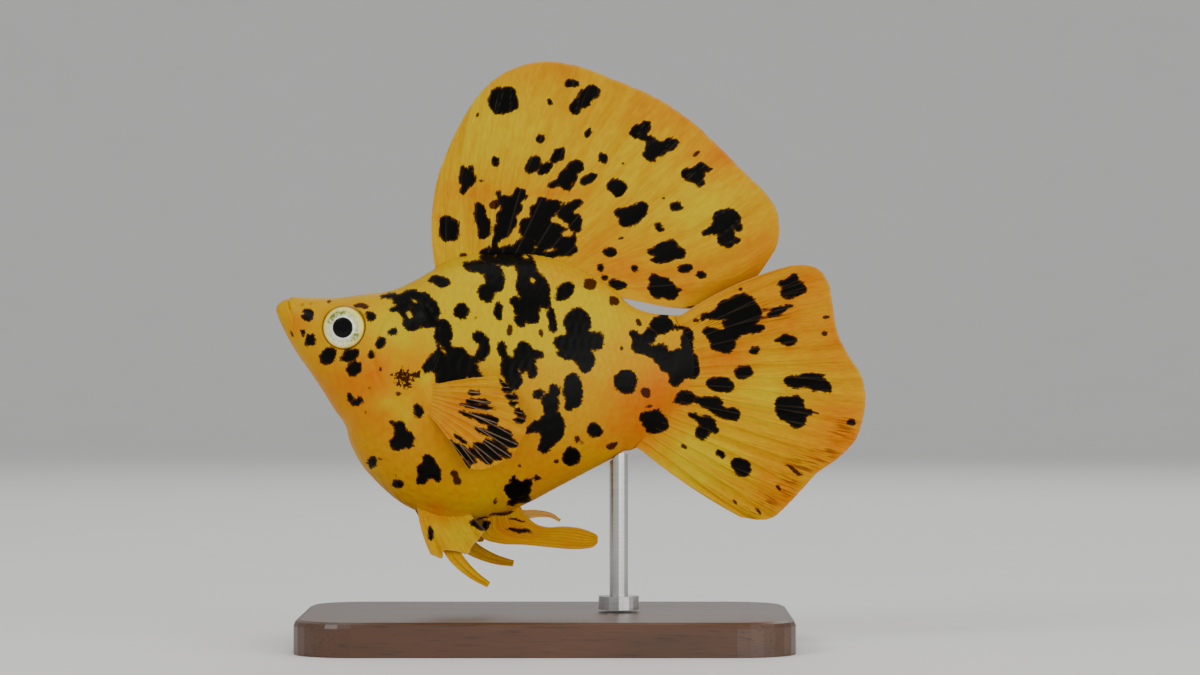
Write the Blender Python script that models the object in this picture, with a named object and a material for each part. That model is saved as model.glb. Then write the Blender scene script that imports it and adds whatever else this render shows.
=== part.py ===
"""Balloon molly: a life-size still model of the fish, held by a plain stand.

Metres, +Z up. The snout points to -X and the fish's left side faces -Y. The
origin is on the underside of the stand, at the middle of the whole model.
Sizes below are in millimetres. A point on the fish is written as
(behind, above): how far it lies behind the tip of the snout, and how far above
it. Each fin is a thin vane whose rays stand up as ridges on both of its faces.
"""

import math

import bmesh
import bpy
import numpy as np
from mathutils import Vector
from mathutils.bvhtree import BVHTree

MM = 0.001
GAP = 0.3  # what touching pieces keep between them

# Driving sizes of the fish and its stand
TOTAL_LENGTH = 70.0
SNOUT_HEIGHT = 39.8
BASE_LENGTH, BASE_DEPTH, BASE_THICK = 58.0, 40.0, 4.0
BASE_CENTRE = 32.0  # behind the snout
BASE_CORNER, BASE_EDGE = 7.0, 0.7
ROD_RADIUS, ROD_BEHIND = 1.1, 40.6
ROD_FOOT_RADIUS, ROD_FOOT_HIGH = 2.4, 1.6
ROD_END = -10.0  # above the snout; the rod ends lower, where the belly cuts it

# The body: ribs from the snout to the tail's root. Each rib runs from a point
# on the back to a point under the belly. Its columns are: behind and above of
# the back, behind and above of the belly, and half the body's width there.
RIBS = (
    (0.15, 0.5, 0.15, -0.5, 1.0),
    (0.7, 1.0, 0.5, -1.5, 1.7),
    (1.9, 1.5, 1.4, -3.3, 2.5),
    (4.0, 1.4, 2.5, -5.2, 3.3),
    (7.2, 1.4, 4.2, -7.6, 4.3),
    (10.4, 1.8, 5.6, -9.7, 5.0),
    (13.4, 2.2, 6.9, -11.8, 5.6),
    (16.0, 3.2, 8.2, -13.7, 6.1),
    (18.8, 4.7, 9.0, -16.3, 6.6),
    (22.0, 5.9, 11.1, -19.5, 7.0),
    (25.4, 6.4, 15.8, -23.4, 7.3),
    (29.0, 6.3, 22.4, -25.0, 7.2),
    (32.6, 5.8, 28.4, -23.5, 6.6),
    (36.0, 4.4, 33.6, -20.9, 5.6),
    (39.2, 2.6, 38.0, -18.6, 4.4),
    (42.6, 0.4, 41.6, -16.9, 3.1),
    (46.0, -0.5, 45.0, -16.6, 2.0),
    (51.0, -0.7, 51.0, -15.2, 1.1),
)
# Where along the body (rib number) the section changes, how high its widest
# level lies (-1 belly to 1 back) and how square its upper and lower halves are.
SECTION_RIBS = (0, 4, 8, 11, 14, 17)
WIDEST_LEVEL = (0.0, 0.16, -0.06, -0.2, -0.05, 0.0)
SQUARE_ABOVE = (2.4, 2.5, 2.1, 1.95, 1.9, 1.8)
SQUARE_BELOW = (2.4, 2.1, 2.1, 2.15, 1.9, 1.8)
BODY_STATIONS, BODY_SIDES = 46, 30

# Edges between the flesh's nodes, as lines of (behind, above) from the back down
GILL_EDGE = (
    (14.0, 5.4), (15.6, 2.8), (17.5, 0.6), (19.0, -2.1), (19.2, -5.0),
    (17.9, -7.6), (15.2, -10.2), (11.6, -12.2), (8.3, -13.6), (5.0, -14.6),
)
COVER_FRONT = ((14.9, 0.6), (12.9, -1.6), (11.9, -4.6), (12.2, -7.4), (13.6, -10.1))
STALK_FRONT = ((38.9, 6.0), (37.8, -3.0), (37.4, -9.0), (38.2, -16.0), (39.4, -22.0))
CAUDAL_BASE = ((48.2, -0.5), (49.6, -3.3), (50.0, -7.1), (48.6, -11.0), (46.2, -14.2), (43.4, -16.8))
TAIL_ABOVE, TAIL_BELOW = (48.0, 4.0), (42.6, -19.5)  # where the cut along it runs on, clear of the flesh
COVER_DEPTH = 3.4  # how far from the middle plane the gill covers' inner faces lie
COVER_LOW, COVER_HIGH = -10.6, 1.0  # the gill covers' lowest and highest level, above the snout
# The box, past the fish on all sides, out of which the flesh's nodes are cut
CUT_FRONT, CUT_LOW, CUT_HIGH, CUT_SIDE = -8.0, -32.0, 14.0, 20.0

# Eyes, mouth and nostrils
EYE_AT = (8.3, -2.15)
EYE_RADIUS, EYE_HALF_DEPTH, EYE_PROUD = 2.6, 2.0, 0.75
EYE_TURN = math.radians(9)
# The mouth opens upwards: its cleft runs from over the snout steeply down and back to its corner
MOUTH_TOP, MOUTH_CORNER = (1.38, 2.0), (1.87, -0.2)
MOUTH_OPEN, MOUTH_CORNER_OPEN = 0.34, 0.2
# Each lip's swelling: where its centre lies, and its half sizes along, across and up
UPPER_LIP_AT, UPPER_LIP_HALVES = (2.15, 0.6), (0.6, 2.65, 0.95)
LOWER_LIP_AT, LOWER_LIP_HALVES = (1.05, 0.25), (0.65, 2.05, 0.85)
NOSTRILS = ((3.2, 0.6), (4.2, 0.75))
NOSTRIL_RADIUS, NOSTRIL_DEPTH = 0.28, 0.45

# Fins: root line, free margin and number of rays
DORSAL_ROOT = ((19.1, 3.8), (21.8, 4.9), (25.4, 5.4), (29.0, 5.3), (32.6, 4.8), (36.0, 3.3), (39.2, 1.6))
DORSAL_MARGIN = (
    (19.4, 16.6), (20.8, 20.1), (22.8, 23.9), (25.2, 26.9), (28.2, 28.8), (31.9, 29.6), (36.0, 29.0),
    (40.8, 27.2), (45.2, 25.3), (49.3, 22.6), (52.5, 19.7), (55.8, 16.4), (58.2, 14.1), (59.5, 12.1),
    (59.9, 10.2), (59.7, 8.2), (58.8, 6.3), (57.4, 4.5),
)
DORSAL_RAYS = 15
DORSAL_LEAN = 3.3  # how far the rear corner stands to the fish's right
DORSAL_WAVE = 0.45
CAUDAL_MARGIN = (
    (60.9, 5.2), (62.8, 5.3), (64.5, 4.7), (65.6, 3.0), (66.0, 0.8), (66.6, -2.6), (67.9, -5.3),
    (69.5, -7.8), (70.0, -10.4), (69.7, -13.0), (68.8, -15.5), (66.7, -17.7), (64.3, -19.4),
    (62.2, -21.7), (60.4, -23.6), (58.9, -24.8), (57.2, -25.0), (55.2, -24.7),
)
CAUDAL_RAYS = 18
CAUDAL_TWIST = (-1.1, 0.9)  # how far the margin's upper and lower corners stand across
CAUDAL_RIPPLE = 0.3
ANAL_FRONT = (
    (24.9, -23.2), (24.3, -26.7), (26.4, -27.7), (29.6, -27.9), (32.6, -28.2), (35.2, -28.4),
    (37.4, -28.2), (38.2, -27.5),
)
ANAL_REAR = (
    (28.4, -22.3), (29.5, -24.2), (30.8, -25.4), (32.3, -25.8), (34.0, -25.7), (36.0, -25.9), (37.7, -26.5),
    (38.2, -27.0),
)
ANAL_RAYS = 8
ANAL_HOOK = ((26.6, -23.6), (28.6, -24.3), (30.8, -24.2), (32.5, -24.4), (33.7, -25.1))
ANAL_HOOK_WIDTHS = (1.5, 1.0, 0.4)  # at its root, middle and tip
PECTORAL_ROOT = ((18.7, -8.9), (18.1, -10.5), (18.3, -12.1))
PECTORAL_MARGIN = (
    (26.4, -7.8), (27.7, -8.9), (28.6, -10.5), (29.6, -12.6), (29.9, -14.2), (29.0, -15.9),
    (28.2, -17.3), (26.2, -18.3), (24.6, -18.8), (23.1, -18.6),
)
PECTORAL_RAYS = 11
# How far the fin stands off the flank, at these shares of its rays' length
PECTORAL_SHARES, PECTORAL_OFF = (0.0, 0.12, 0.3, 1.0), (-0.5, 0.35, 1.0, 2.4)
PELVIC_ROOT = ((16.7, -22.5), (19.2, -23.2), (22.2, -23.3))
PELVIC_MARGIN = (
    (18.5, -28.8), (19.8, -29.3), (20.1, -28.4), (21.6, -28.5), (22.9, -28.8), (23.3, -28.0), (24.2, -27.0),
    (24.9, -25.9),
)
PELVIC_RAYS = 7
PELVIC_STRAP = ((19.0, -24.0), (20.0, -26.6), (21.4, -29.1), (23.3, -31.0), (25.4, -32.35))
PELVIC_STRAP_WIDTHS = (2.2, 1.7, 0.7)  # at its root, middle and tip
PELVIC_HALF_SPREAD, PELVIC_SPLAY = 2.05, 2.2  # across at the root, and how much more at the margin
LOBE_START, LOBE_SPLAY = 0.1, 1.35  # the lobe's own shares of that splay, at its root and along it
PELVIC_SWING, PELVIC_STRETCH = math.radians(18), 1.05  # the right fin trails more than the left
PELVIC_HINGE = (19.4, -24.0)

# How thick a fin is, face to face, from its root to its margin
MEMBRANE_ROOT, MEMBRANE, MEMBRANE_EDGE = 1.0, 0.5, 0.3
RAY_HEIGHT, RAY_FOOT = 0.16, 0.27
MARGIN_SCALLOP = 0.006  # how far the margin draws in between two rays, as a share of their length

COLOURS = {
    "skin": ((0.94, 0.50, 0.02), 0.35, 0.0),
    "fin": ((0.90, 0.42, 0.02), 0.4, 0.0),
    "eye": ((0.80, 0.80, 0.58), 0.15, 0.0),
    "stand_wood": ((0.07, 0.04, 0.025), 0.45, 0.0),
    "stand_steel": ((0.60, 0.60, 0.60), 0.3, 1.0),
}


def clear_scene():
    for obj in list(bpy.data.objects):
        bpy.data.objects.remove(obj)


def collection(name):
    made = bpy.data.collections.new(name)
    bpy.context.scene.collection.children.link(made)
    return made


def material(name):
    """A Principled material with one of COLOURS."""
    colour, roughness, metallic = COLOURS[name]
    made = bpy.data.materials.new(name)
    made.use_nodes = True
    shader = made.node_tree.nodes["Principled BSDF"]
    shader.inputs["Base Color"].default_value = (*colour, 1.0)
    shader.inputs["Roughness"].default_value = roughness
    shader.inputs["Metallic"].default_value = metallic
    return made


def placed(behind, across, above):
    """World points, in metres, of points given from the snout's tip in millimetres."""
    return np.stack(np.broadcast_arrays(
        (behind - TOTAL_LENGTH / 2) * MM,
        np.asarray(across, float) * MM,
        (SNOUT_HEIGHT + above) * MM,
    ), axis=-1)


def spline(knots, t):
    """Points at t, from 0 to 1 in knot number, on the Catmull-Rom curve through the knots."""
    knots = np.asarray(knots, float)
    ends = np.vstack([2 * knots[0] - knots[1], knots, 2 * knots[-1] - knots[-2]])
    at = np.clip(np.asarray(t, float), 0.0, 1.0) * (len(knots) - 1)
    i = np.minimum(at.astype(int), len(knots) - 2)
    f = (at - i)[..., None]
    a, b, c, d = ends[i], ends[i + 1], ends[i + 2], ends[i + 3]
    return b + 0.5 * f * (c - a + f * (2 * a - 5 * b + 4 * c - d + f * (3 * (b - c) + d - a)))


def even(knots, t):
    """As spline, with t counted along the curve's own length."""
    fine = np.linspace(0.0, 1.0, 40 * len(knots))
    points = spline(knots, fine)
    run = np.concatenate([[0.0], np.cumsum(np.linalg.norm(np.diff(points, axis=0), axis=1))])
    return spline(knots, np.interp(np.asarray(t, float) * run[-1], run, fine))


def body_points(t, angle, grow=0.0):
    """(behind, across, above) on the body at t, from 0 at the snout to 1 at the tail, and at an
    angle round it from the back. A section is two half superellipses that meet at its widest
    level. grow moves every point out by that much."""
    rib = spline(RIBS, t)
    number = t * (len(RIBS) - 1)
    level = np.interp(number, SECTION_RIBS, WIDEST_LEVEL)
    above = np.interp(number, SECTION_RIBS, SQUARE_ABOVE)
    below = np.interp(number, SECTION_RIBS, SQUARE_BELOW)
    back, belly, half_width = rib[..., 0:2], rib[..., 2:4], rib[..., 4]
    cosine, sine = np.cos(angle), np.sin(angle)
    power = 2.0 / np.where(cosine >= 0, above, below)
    reach = np.where(cosine >= 0, 1.0 - level, 1.0 + level)
    along = level + reach * np.sign(cosine) * np.abs(cosine) ** power
    middle, half = (back + belly) / 2, (back - belly) / 2
    size = np.linalg.norm(half, axis=-1)
    flat = middle + half * (along * (1 + grow / size))[..., None]
    across = np.sign(sine) * np.abs(sine) ** power * (half_width + grow)
    return flat[..., 0], across, flat[..., 1]


def linked(name, mesh, home, look=None):
    made = bpy.data.objects.new(name, mesh)
    home.objects.link(made)
    if look:
        made.data.materials.append(look)
    return made


def mesh_of(name, points, faces):
    """A mesh of triangles from points in metres. Faces that lie inside out are turned round."""
    mesh = bpy.data.meshes.new(name)
    mesh.from_pydata([tuple(p) for p in points], [], faces)
    shell = bmesh.new()
    shell.from_mesh(mesh)
    bmesh.ops.remove_doubles(shell, verts=shell.verts, dist=1e-7)
    bmesh.ops.triangulate(shell, faces=shell.faces)
    if shell.calc_volume(signed=True) < 0:
        bmesh.ops.reverse_faces(shell, faces=shell.faces)
    shell.to_mesh(mesh)
    shell.free()
    return mesh


def body_mesh(name, grow=0.0, stations=BODY_STATIONS, sides=BODY_SIDES):
    """The whole body as one loft: rings round its ribs, closed by a point at each end."""
    spread = np.linspace(0.0, 1.0, stations)
    t = spread ** 1.15  # stations stand closer at the snout
    angle = np.arange(sides) * 2 * math.pi / sides
    rings = placed(*body_points(t[:, None] + 0 * angle, angle + 0 * t[:, None], grow)).reshape(-1, 3)
    snout = placed(-grow, 0.0, 0.0)
    tail = placed(RIBS[-1][0] + 0.4 + grow, 0.0, (RIBS[-1][1] + RIBS[-1][3]) / 2)
    faces = []
    for i in range(stations - 1):
        for k in range(sides):
            a, b = i * sides + k, i * sides + (k + 1) % sides
            faces.append((a, b, b + sides, a + sides))
    last = (stations - 1) * sides
    first_pole, last_pole = stations * sides, stations * sides + 1
    for k in range(sides):
        faces.append((first_pole, (k + 1) % sides, k))
        faces.append((last_pole, last + k, last + (k + 1) % sides))
    return mesh_of(name, np.vstack([rings, snout, tail]), faces)


def prism(name, outline, near, far, home):
    """A closed slab with the outline's points (behind, above), from near to far across the fish.
    The outline is a flat curve, which a turn of 90 degrees stands upright."""
    curve = bpy.data.curves.new(name, "CURVE")
    curve.dimensions, curve.fill_mode = "2D", "BOTH"
    curve.extrude = (far - near) / 2 * MM
    loop = curve.splines.new("POLY")
    loop.points.add(len(outline) - 1)
    for point, (behind, above) in zip(loop.points, outline):
        point.co = (behind * MM, above * MM, 0.0, 1.0)
    loop.use_cyclic_u = True
    guide = linked(name, curve, home)
    guide.location = placed(0.0, (near + far) / 2, 0.0)
    guide.rotation_euler = (math.radians(90), 0.0, 0.0)
    bpy.context.view_layer.update()
    graph = bpy.context.evaluated_depsgraph_get()
    mesh = bpy.data.meshes.new_from_object(guide.evaluated_get(graph))
    mesh.transform(guide.matrix_world)
    bpy.data.objects.remove(guide)
    shell = bmesh.new()
    shell.from_mesh(mesh)
    bmesh.ops.remove_doubles(shell, verts=shell.verts, dist=1e-6)
    bmesh.ops.recalc_face_normals(shell, faces=shell.faces)
    if shell.calc_volume(signed=True) < 0:
        bmesh.ops.reverse_faces(shell, faces=shell.faces)
    shell.to_mesh(mesh)
    shell.free()
    return linked(name, mesh, home)


def keep_largest(mesh):
    """Leaves only the largest closed surface of a mesh, by volume."""
    shell = bmesh.new()
    shell.from_mesh(mesh)
    bmesh.ops.triangulate(shell, faces=shell.faces)
    left, shells = set(shell.faces), []
    while left:
        seed = left.pop()
        found, edge = {seed}, [seed]
        while edge:
            for side in edge.pop().edges:
                for face in side.link_faces:
                    if face in left:
                        left.discard(face)
                        found.add(face)
                        edge.append(face)
        volume = sum(
            f.verts[0].co.dot(f.verts[1].co.cross(f.verts[2].co)) for f in found
        )
        shells.append((volume, found))
    best = max(shells, key=lambda one: one[0])[1]
    scraps = [f for f in shell.faces if f not in best]
    bmesh.ops.delete(shell, geom=scraps, context="FACES")
    shell.to_mesh(mesh)
    shell.free()


def combine(obj, operation, tools):
    """Applies one Boolean of obj with the tools, which are objects, and keeps the largest shell."""
    for tool in tools:
        modifier = obj.modifiers.new("join", "BOOLEAN")
        modifier.operation, modifier.object, modifier.solver = operation, tool, "EXACT"
    graph = bpy.context.evaluated_depsgraph_get()
    mesh = bpy.data.meshes.new_from_object(obj.evaluated_get(graph))
    obj.modifiers.clear()
    keep_largest(mesh)
    obj.data = mesh


def fused(obj, pieces):
    """Joins closed mesh pieces to obj with one union over a collection, then removes them."""
    group = bpy.data.collections.new(obj.name + "_pieces")
    for piece in pieces:
        group.objects.link(piece)
    modifier = obj.modifiers.new("fuse", "BOOLEAN")
    modifier.operation, modifier.operand_type = "UNION", "COLLECTION"
    modifier.collection, modifier.solver = group, "EXACT"
    graph = bpy.context.evaluated_depsgraph_get()
    mesh = bpy.data.meshes.new_from_object(obj.evaluated_get(graph))
    obj.modifiers.clear()
    keep_largest(mesh)
    obj.data = mesh
    for piece in pieces:
        bpy.data.objects.remove(piece)
    bpy.data.collections.remove(group)


def fan(root, margin, bow, late=0.0):
    """A fin's outline as a function of u, across its rays, and v, along them. Each ray runs from
    the root line to the margin and bows sideways by bow(u) at most. The larger late is, the
    nearer to the margin the rays at the far end of the root bow."""
    def at(u, v):
        start, end = even(root, u), even(margin, u)
        run = end - start
        side = np.stack([-run[..., 1], run[..., 0]], axis=-1)
        side /= np.maximum(np.linalg.norm(side, axis=-1, keepdims=True), 1e-6)
        w = np.maximum(v, 0.0) ** (1 + late * u)
        return start + run * v[..., None] + side * (4 * w * (1 - w) * bow(u))[..., None]
    return at


def between(front, rear):
    """A fin's outline whose first and last rays are the given lines, with the others in between."""
    def at(u, v):
        return even(front, v) * (1 - u)[..., None] + even(rear, v) * u[..., None]
    return at


def strap(path, widths):
    """A long narrow fin lobe as a function of u, across, and v, along its curved path."""
    def at(u, v):
        centre = even(path, v)
        ahead = even(path, np.minimum(v + 0.02, 1.0)) - even(path, np.maximum(v - 0.02, 0.0))
        side = np.stack([-ahead[..., 1], ahead[..., 0]], axis=-1)
        side /= np.linalg.norm(side, axis=-1, keepdims=True)
        width = np.interp(v, (0.0, 0.5, 1.0), widths)
        return centre + side * ((0.5 - u) * width)[..., None]
    return at


def vane(name, outline, across, rays, rows, home, root_thick=MEMBRANE_ROOT, grip=0.25):
    """A closed thin fin. outline(u, v) gives (behind, above) and across(u, v, behind, above) the
    distance from the middle plane. Each ray is a ridge of three columns on both faces, and the
    faces are split into triangles alike. The root is root_thick, out to the share grip."""
    step = 1.0 / (rays - 1)
    centres = np.arange(rays) * step
    foot = RAY_FOOT * step
    columns = np.sort(np.concatenate([centres, centres[:-1] + foot, centres[1:] - foot]))
    ridge = (np.abs(columns[:, None] - centres).min(axis=1) < 1e-9).astype(float)
    reach = np.linspace(0.0, 1.0, rows)
    u, v = np.meshgrid(columns, reach, indexing="ij")
    crest = ridge[:, None] + 0 * v
    scallop = np.where(crest > 0, 1.0, 1.0 - MARGIN_SCALLOP * v)
    flat = outline(u, v * scallop)
    behind, above = flat[..., 0], flat[..., 1]
    middle = np.stack([behind, across(u, v, behind, above), above], axis=-1)
    along_u, along_v = np.gradient(middle, axis=0), np.gradient(middle, axis=1)
    normal = np.cross(along_u, along_v)
    normal /= np.maximum(np.linalg.norm(normal, axis=-1, keepdims=True), 1e-9)
    full = np.interp(v, (0.0, grip, 0.85, 1.0), (root_thick, MEMBRANE, MEMBRANE, MEMBRANE_EDGE))
    half = full / 2 + RAY_HEIGHT * crest * np.interp(v, (0.0, 0.9, 1.0), (1.0, 0.7, 0.25))
    one, other = middle + normal * half[..., None], middle - normal * half[..., None]
    points = np.concatenate([one.reshape(-1, 3), other.reshape(-1, 3)])
    count, deep = len(columns), len(columns) * rows
    faces = []
    for i in range(count - 1):
        for k in range(rows - 1):
            a, b, c, d = i * rows + k, (i + 1) * rows + k, (i + 1) * rows + k + 1, i * rows + k + 1
            faces += [(a, b, c), (a, c, d)]
            faces += [(deep + a, deep + c, deep + b), (deep + a, deep + d, deep + c)]
    rim = [i * rows for i in range(count)]
    rim += [(count - 1) * rows + k for k in range(1, rows)]
    rim += [i * rows + rows - 1 for i in range(count - 2, -1, -1)]
    rim += [k for k in range(rows - 2, 0, -1)]
    for a, b in zip(rim, rim[1:] + rim[:1]):
        faces += [(a, deep + a, deep + b), (a, deep + b, b)]
    world = placed(points[:, 0], points[:, 1], points[:, 2])
    return linked(name, mesh_of(name, world, faces), home)


def flank_finder(body):
    """A function that gives the body's half width at (behind, above), by casting rays from the side."""
    tree = BVHTree.FromPolygons(
        [v.co.copy() for v in body.vertices], [tuple(p.vertices) for p in body.polygons]
    )

    def at(behind, above):
        widths = np.zeros(np.shape(behind))
        for i, (x, z) in enumerate(zip(np.ravel(behind), np.ravel(above))):
            start = Vector(placed(x, -30.0, z))
            hit = tree.ray_cast(start, Vector((0.0, 1.0, 0.0)))[0]
            widths.flat[i] = -hit.y / MM if hit else 0.0
        return widths
    return at


def edge_line(knots, count=24, shift=0.0):
    """The curve through the knots as count points, moved back along the fish by shift."""
    return [(x + shift, z) for x, z in spline(knots, np.linspace(0.0, 1.0, count))]


def flesh_nodes(parts, tools, skin):
    """Head, torso and tail stalk: the whole body, cut apart along the gill edge, across the body
    behind the anal fin, and along the tail fin's curved root."""
    half = GAP / 2
    gill = edge_line(GILL_EDGE)
    stalk = edge_line(STALK_FRONT)
    tail = edge_line((TAIL_ABOVE, *CAUDAL_BASE, TAIL_BELOW))
    ahead = [(x - half, z) for x, z in gill]
    behind = [(x + half, z) for x, z in gill]
    (top, _), (bottom, _) = gill[0], gill[-1]
    front_corners = [
        (bottom - half, CUT_LOW), (CUT_FRONT, CUT_LOW), (CUT_FRONT, CUT_HIGH), (top - half, CUT_HIGH),
    ]
    upper_corners = [(stalk[0][0] - half, CUT_HIGH), (top + half, CUT_HIGH)]
    before_stalk = [(x - half, z) for x, z in reversed(stalk)]
    middle = behind + [(bottom + half, CUT_LOW)] + before_stalk + upper_corners
    rear = [(x + half, z) for x, z in stalk] + list(reversed(tail))
    made = {}
    for name, outline in (("head", ahead + front_corners), ("torso", middle), ("tail_stalk", rear)):
        slab = prism(name + "_slab", outline, -CUT_SIDE, CUT_SIDE, tools)
        made[name] = linked(name, body_mesh(name), parts, skin)
        combine(made[name], "INTERSECT", [slab])
    return made


def gill_covers(head, parts, tools, skin):
    """Each gill cover is the head's own wall behind the cheek, cut free of it by a thin gap."""
    front = edge_line(COVER_FRONT, 14)
    rear = [p for p in edge_line(GILL_EDGE, 60, 1.0) if COVER_LOW < p[1] < COVER_HIGH]
    outline = rear + list(reversed(front))
    wider = rear + [(x - GAP, z) for x, z in reversed(front)]
    wider[0] = (wider[0][0], wider[0][1] + GAP)
    wider[-1] = (wider[-1][0], wider[-1][1] + GAP)
    wider[len(rear) - 1] = (rear[-1][0], rear[-1][1] - GAP)
    wider[len(rear)] = (wider[len(rear)][0], wider[len(rear)][1] - GAP)
    for side, name in ((-1, "gill_cover_left"), (1, "gill_cover_right")):
        near, far = sorted((side * COVER_DEPTH, side * CUT_SIDE))
        patch = prism(name + "_patch", outline, near, far, tools)
        cover = linked(name, head.data.copy(), parts)
        combine(cover, "INTERSECT", [patch])
        near, far = sorted((side * (COVER_DEPTH - GAP), side * CUT_SIDE))
        opening = prism(name + "_opening", wider, near, far, tools)
        combine(head, "DIFFERENCE", [opening])


def ball(name, centre, radii, home, turn=0.0, rings=10, segments=18):
    """An ellipsoid whose poles lie across the fish. Its radii are along, across and up."""
    mesh = bpy.data.meshes.new(name)
    shell = bmesh.new()
    bmesh.ops.create_uvsphere(shell, u_segments=segments, v_segments=rings, radius=1.0)
    shell.to_mesh(mesh)
    shell.free()
    made = linked(name, mesh, home)
    made.location = placed(centre[0], centre[1], centre[2])
    made.rotation_euler = (math.radians(90), 0.0, turn)
    made.scale = (radii[0] * MM, radii[2] * MM, radii[1] * MM)
    bpy.context.view_layer.update()
    mesh.transform(made.matrix_world)
    made.location, made.rotation_euler, made.scale = (0, 0, 0), (0, 0, 0), (1, 1, 1)
    bpy.context.view_layer.update()
    return made


def eyes(head, flank, parts, tools, look):
    """Each eye is a flattened ball set into a socket that clears it by GAP."""
    width = float(flank(np.array([EYE_AT[0]]), np.array([EYE_AT[1]]))[0])
    depth = width + EYE_PROUD - EYE_HALF_DEPTH
    for side, name in ((-1, "eye_left"), (1, "eye_right")):
        centre = (EYE_AT[0], side * depth, EYE_AT[1])
        radii = np.array([EYE_RADIUS, EYE_HALF_DEPTH, EYE_RADIUS])
        eye = ball(name, centre, radii, parts, side * -EYE_TURN)
        eye.data.materials.append(look)
        combine(head, "DIFFERENCE", [ball(name + "_socket", centre, radii + GAP, tools, side * -EYE_TURN)])


def lips_and_nostrils(head, flank, tools):
    """Swells the two lips on either side of the mouth, cuts its cleft between them and sinks two
    nostrils on each side before the eye."""
    lips = []
    for name, (x, z), halves in (
        ("upper_lip", UPPER_LIP_AT, UPPER_LIP_HALVES), ("lower_lip", LOWER_LIP_AT, LOWER_LIP_HALVES),
    ):
        lips.append(ball(name, (x, 0.0, z), halves, tools, rings=6, segments=14))
    fused(head, lips)
    (x0, z0), (x1, z1) = MOUTH_TOP, MOUTH_CORNER
    wide, narrow = MOUTH_OPEN / 2, MOUTH_CORNER_OPEN / 2
    cleft = [(x0 - wide, z0), (x1 - narrow, z1), (x1 + narrow, z1), (x0 + wide, z0)]
    combine(head, "DIFFERENCE", [prism("mouth_cleft", cleft, -6.0, 6.0, tools)])
    pits = []
    for x, z in NOSTRILS:
        for side in (-1, 1):
            centre = (x, side * float(flank(np.array([x]), np.array([z]))[0]), z)
            radii = (NOSTRIL_RADIUS, NOSTRIL_DEPTH, NOSTRIL_RADIUS)
            pits.append(ball("nostril_pit", centre, radii, tools, rings=6, segments=8))
    combine(head, "DIFFERENCE", pits)


def dorsal_fin(parts, tools, body_tool, look):
    """The sail: its rear rays swing away to the fish's right, clear of the tail fin."""
    def bow(u):
        return 0.85 * (1 - u) ** 2 - 3.1 * u ** 4

    def across(u, v, behind, above):
        wave = DORSAL_WAVE * np.sin(2 * math.pi * (1.6 * u + 0.1)) * v ** 2
        return wave * (1 - u ** 3) + DORSAL_LEAN * u ** 2 * v ** 1.15

    outline = fan(DORSAL_ROOT, DORSAL_MARGIN, bow, late=0.35)
    fin = vane("dorsal_fin", outline, across, DORSAL_RAYS, 10, parts)
    combine(fin, "DIFFERENCE", [body_tool])
    fin.data.materials.append(look)


def caudal_fin(parts, look):
    """The tail fin, whose root follows the end of the tail stalk."""
    root = [(x + GAP, z) for x, z in CAUDAL_BASE]

    def bow(u):
        return 0.6 * (1 - u) ** 3 - 0.35 * u ** 3

    def across(u, v, behind, above):
        ripple = CAUDAL_RIPPLE * np.sin(2 * math.pi * (2.1 * u + 0.35)) * v ** 2
        upper, lower = CAUDAL_TWIST
        return ripple + upper * (1 - u) ** 2 * v ** 1.1 + lower * u ** 2 * v ** 1.3

    outline = fan(root, CAUDAL_MARGIN, bow)
    fin = vane("caudal_fin", outline, across, CAUDAL_RAYS, 8, parts, root_thick=1.5, grip=0.35)
    fin.data.materials.append(look)


def anal_fin(parts, tools, body_tool, look):
    """The long pointed anal fin, with the thin lobe that curls over its upper edge."""
    def across(u, v, behind, above):
        return 0.35 * np.sin(3 * v) * v

    def hook_across(u, v, behind, above):
        return 0.1 + 0.9 * v

    fin = vane("anal_fin", between(ANAL_FRONT, ANAL_REAR), across, ANAL_RAYS, 9, parts)
    hook = vane("anal_hook", strap(ANAL_HOOK, ANAL_HOOK_WIDTHS), hook_across, 3, 7, tools, root_thick=0.6)
    fused(fin, [hook])
    combine(fin, "DIFFERENCE", [body_tool])
    fin.data.materials.append(look)


def pectoral_fins(flank, parts, body_tool, look):
    """Each pectoral fin grows from the flank behind the gill cover and stands off it a little more
    towards its tip."""
    def bow(u):
        return 0.2 - 0.05 * u

    for side, name in ((-1, "pectoral_fin_left"), (1, "pectoral_fin_right")):
        def across(u, v, behind, above):
            return side * (flank(behind, above) + np.interp(v, PECTORAL_SHARES, PECTORAL_OFF))

        outline = fan(PECTORAL_ROOT, PECTORAL_MARGIN, bow)
        fin = vane(name, outline, across, PECTORAL_RAYS, 7, parts, root_thick=0.9)
        combine(fin, "DIFFERENCE", [body_tool])
        fin.data.materials.append(look)


def swung(points, angle, stretch):
    """Points (behind, above) turned about the pelvic fins' hinge, tips towards the tail."""
    c, s = math.cos(angle) * stretch, math.sin(angle) * stretch
    return (points - PELVIC_HINGE) @ np.array([[c, s], [-s, c]]) + PELVIC_HINGE


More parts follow.
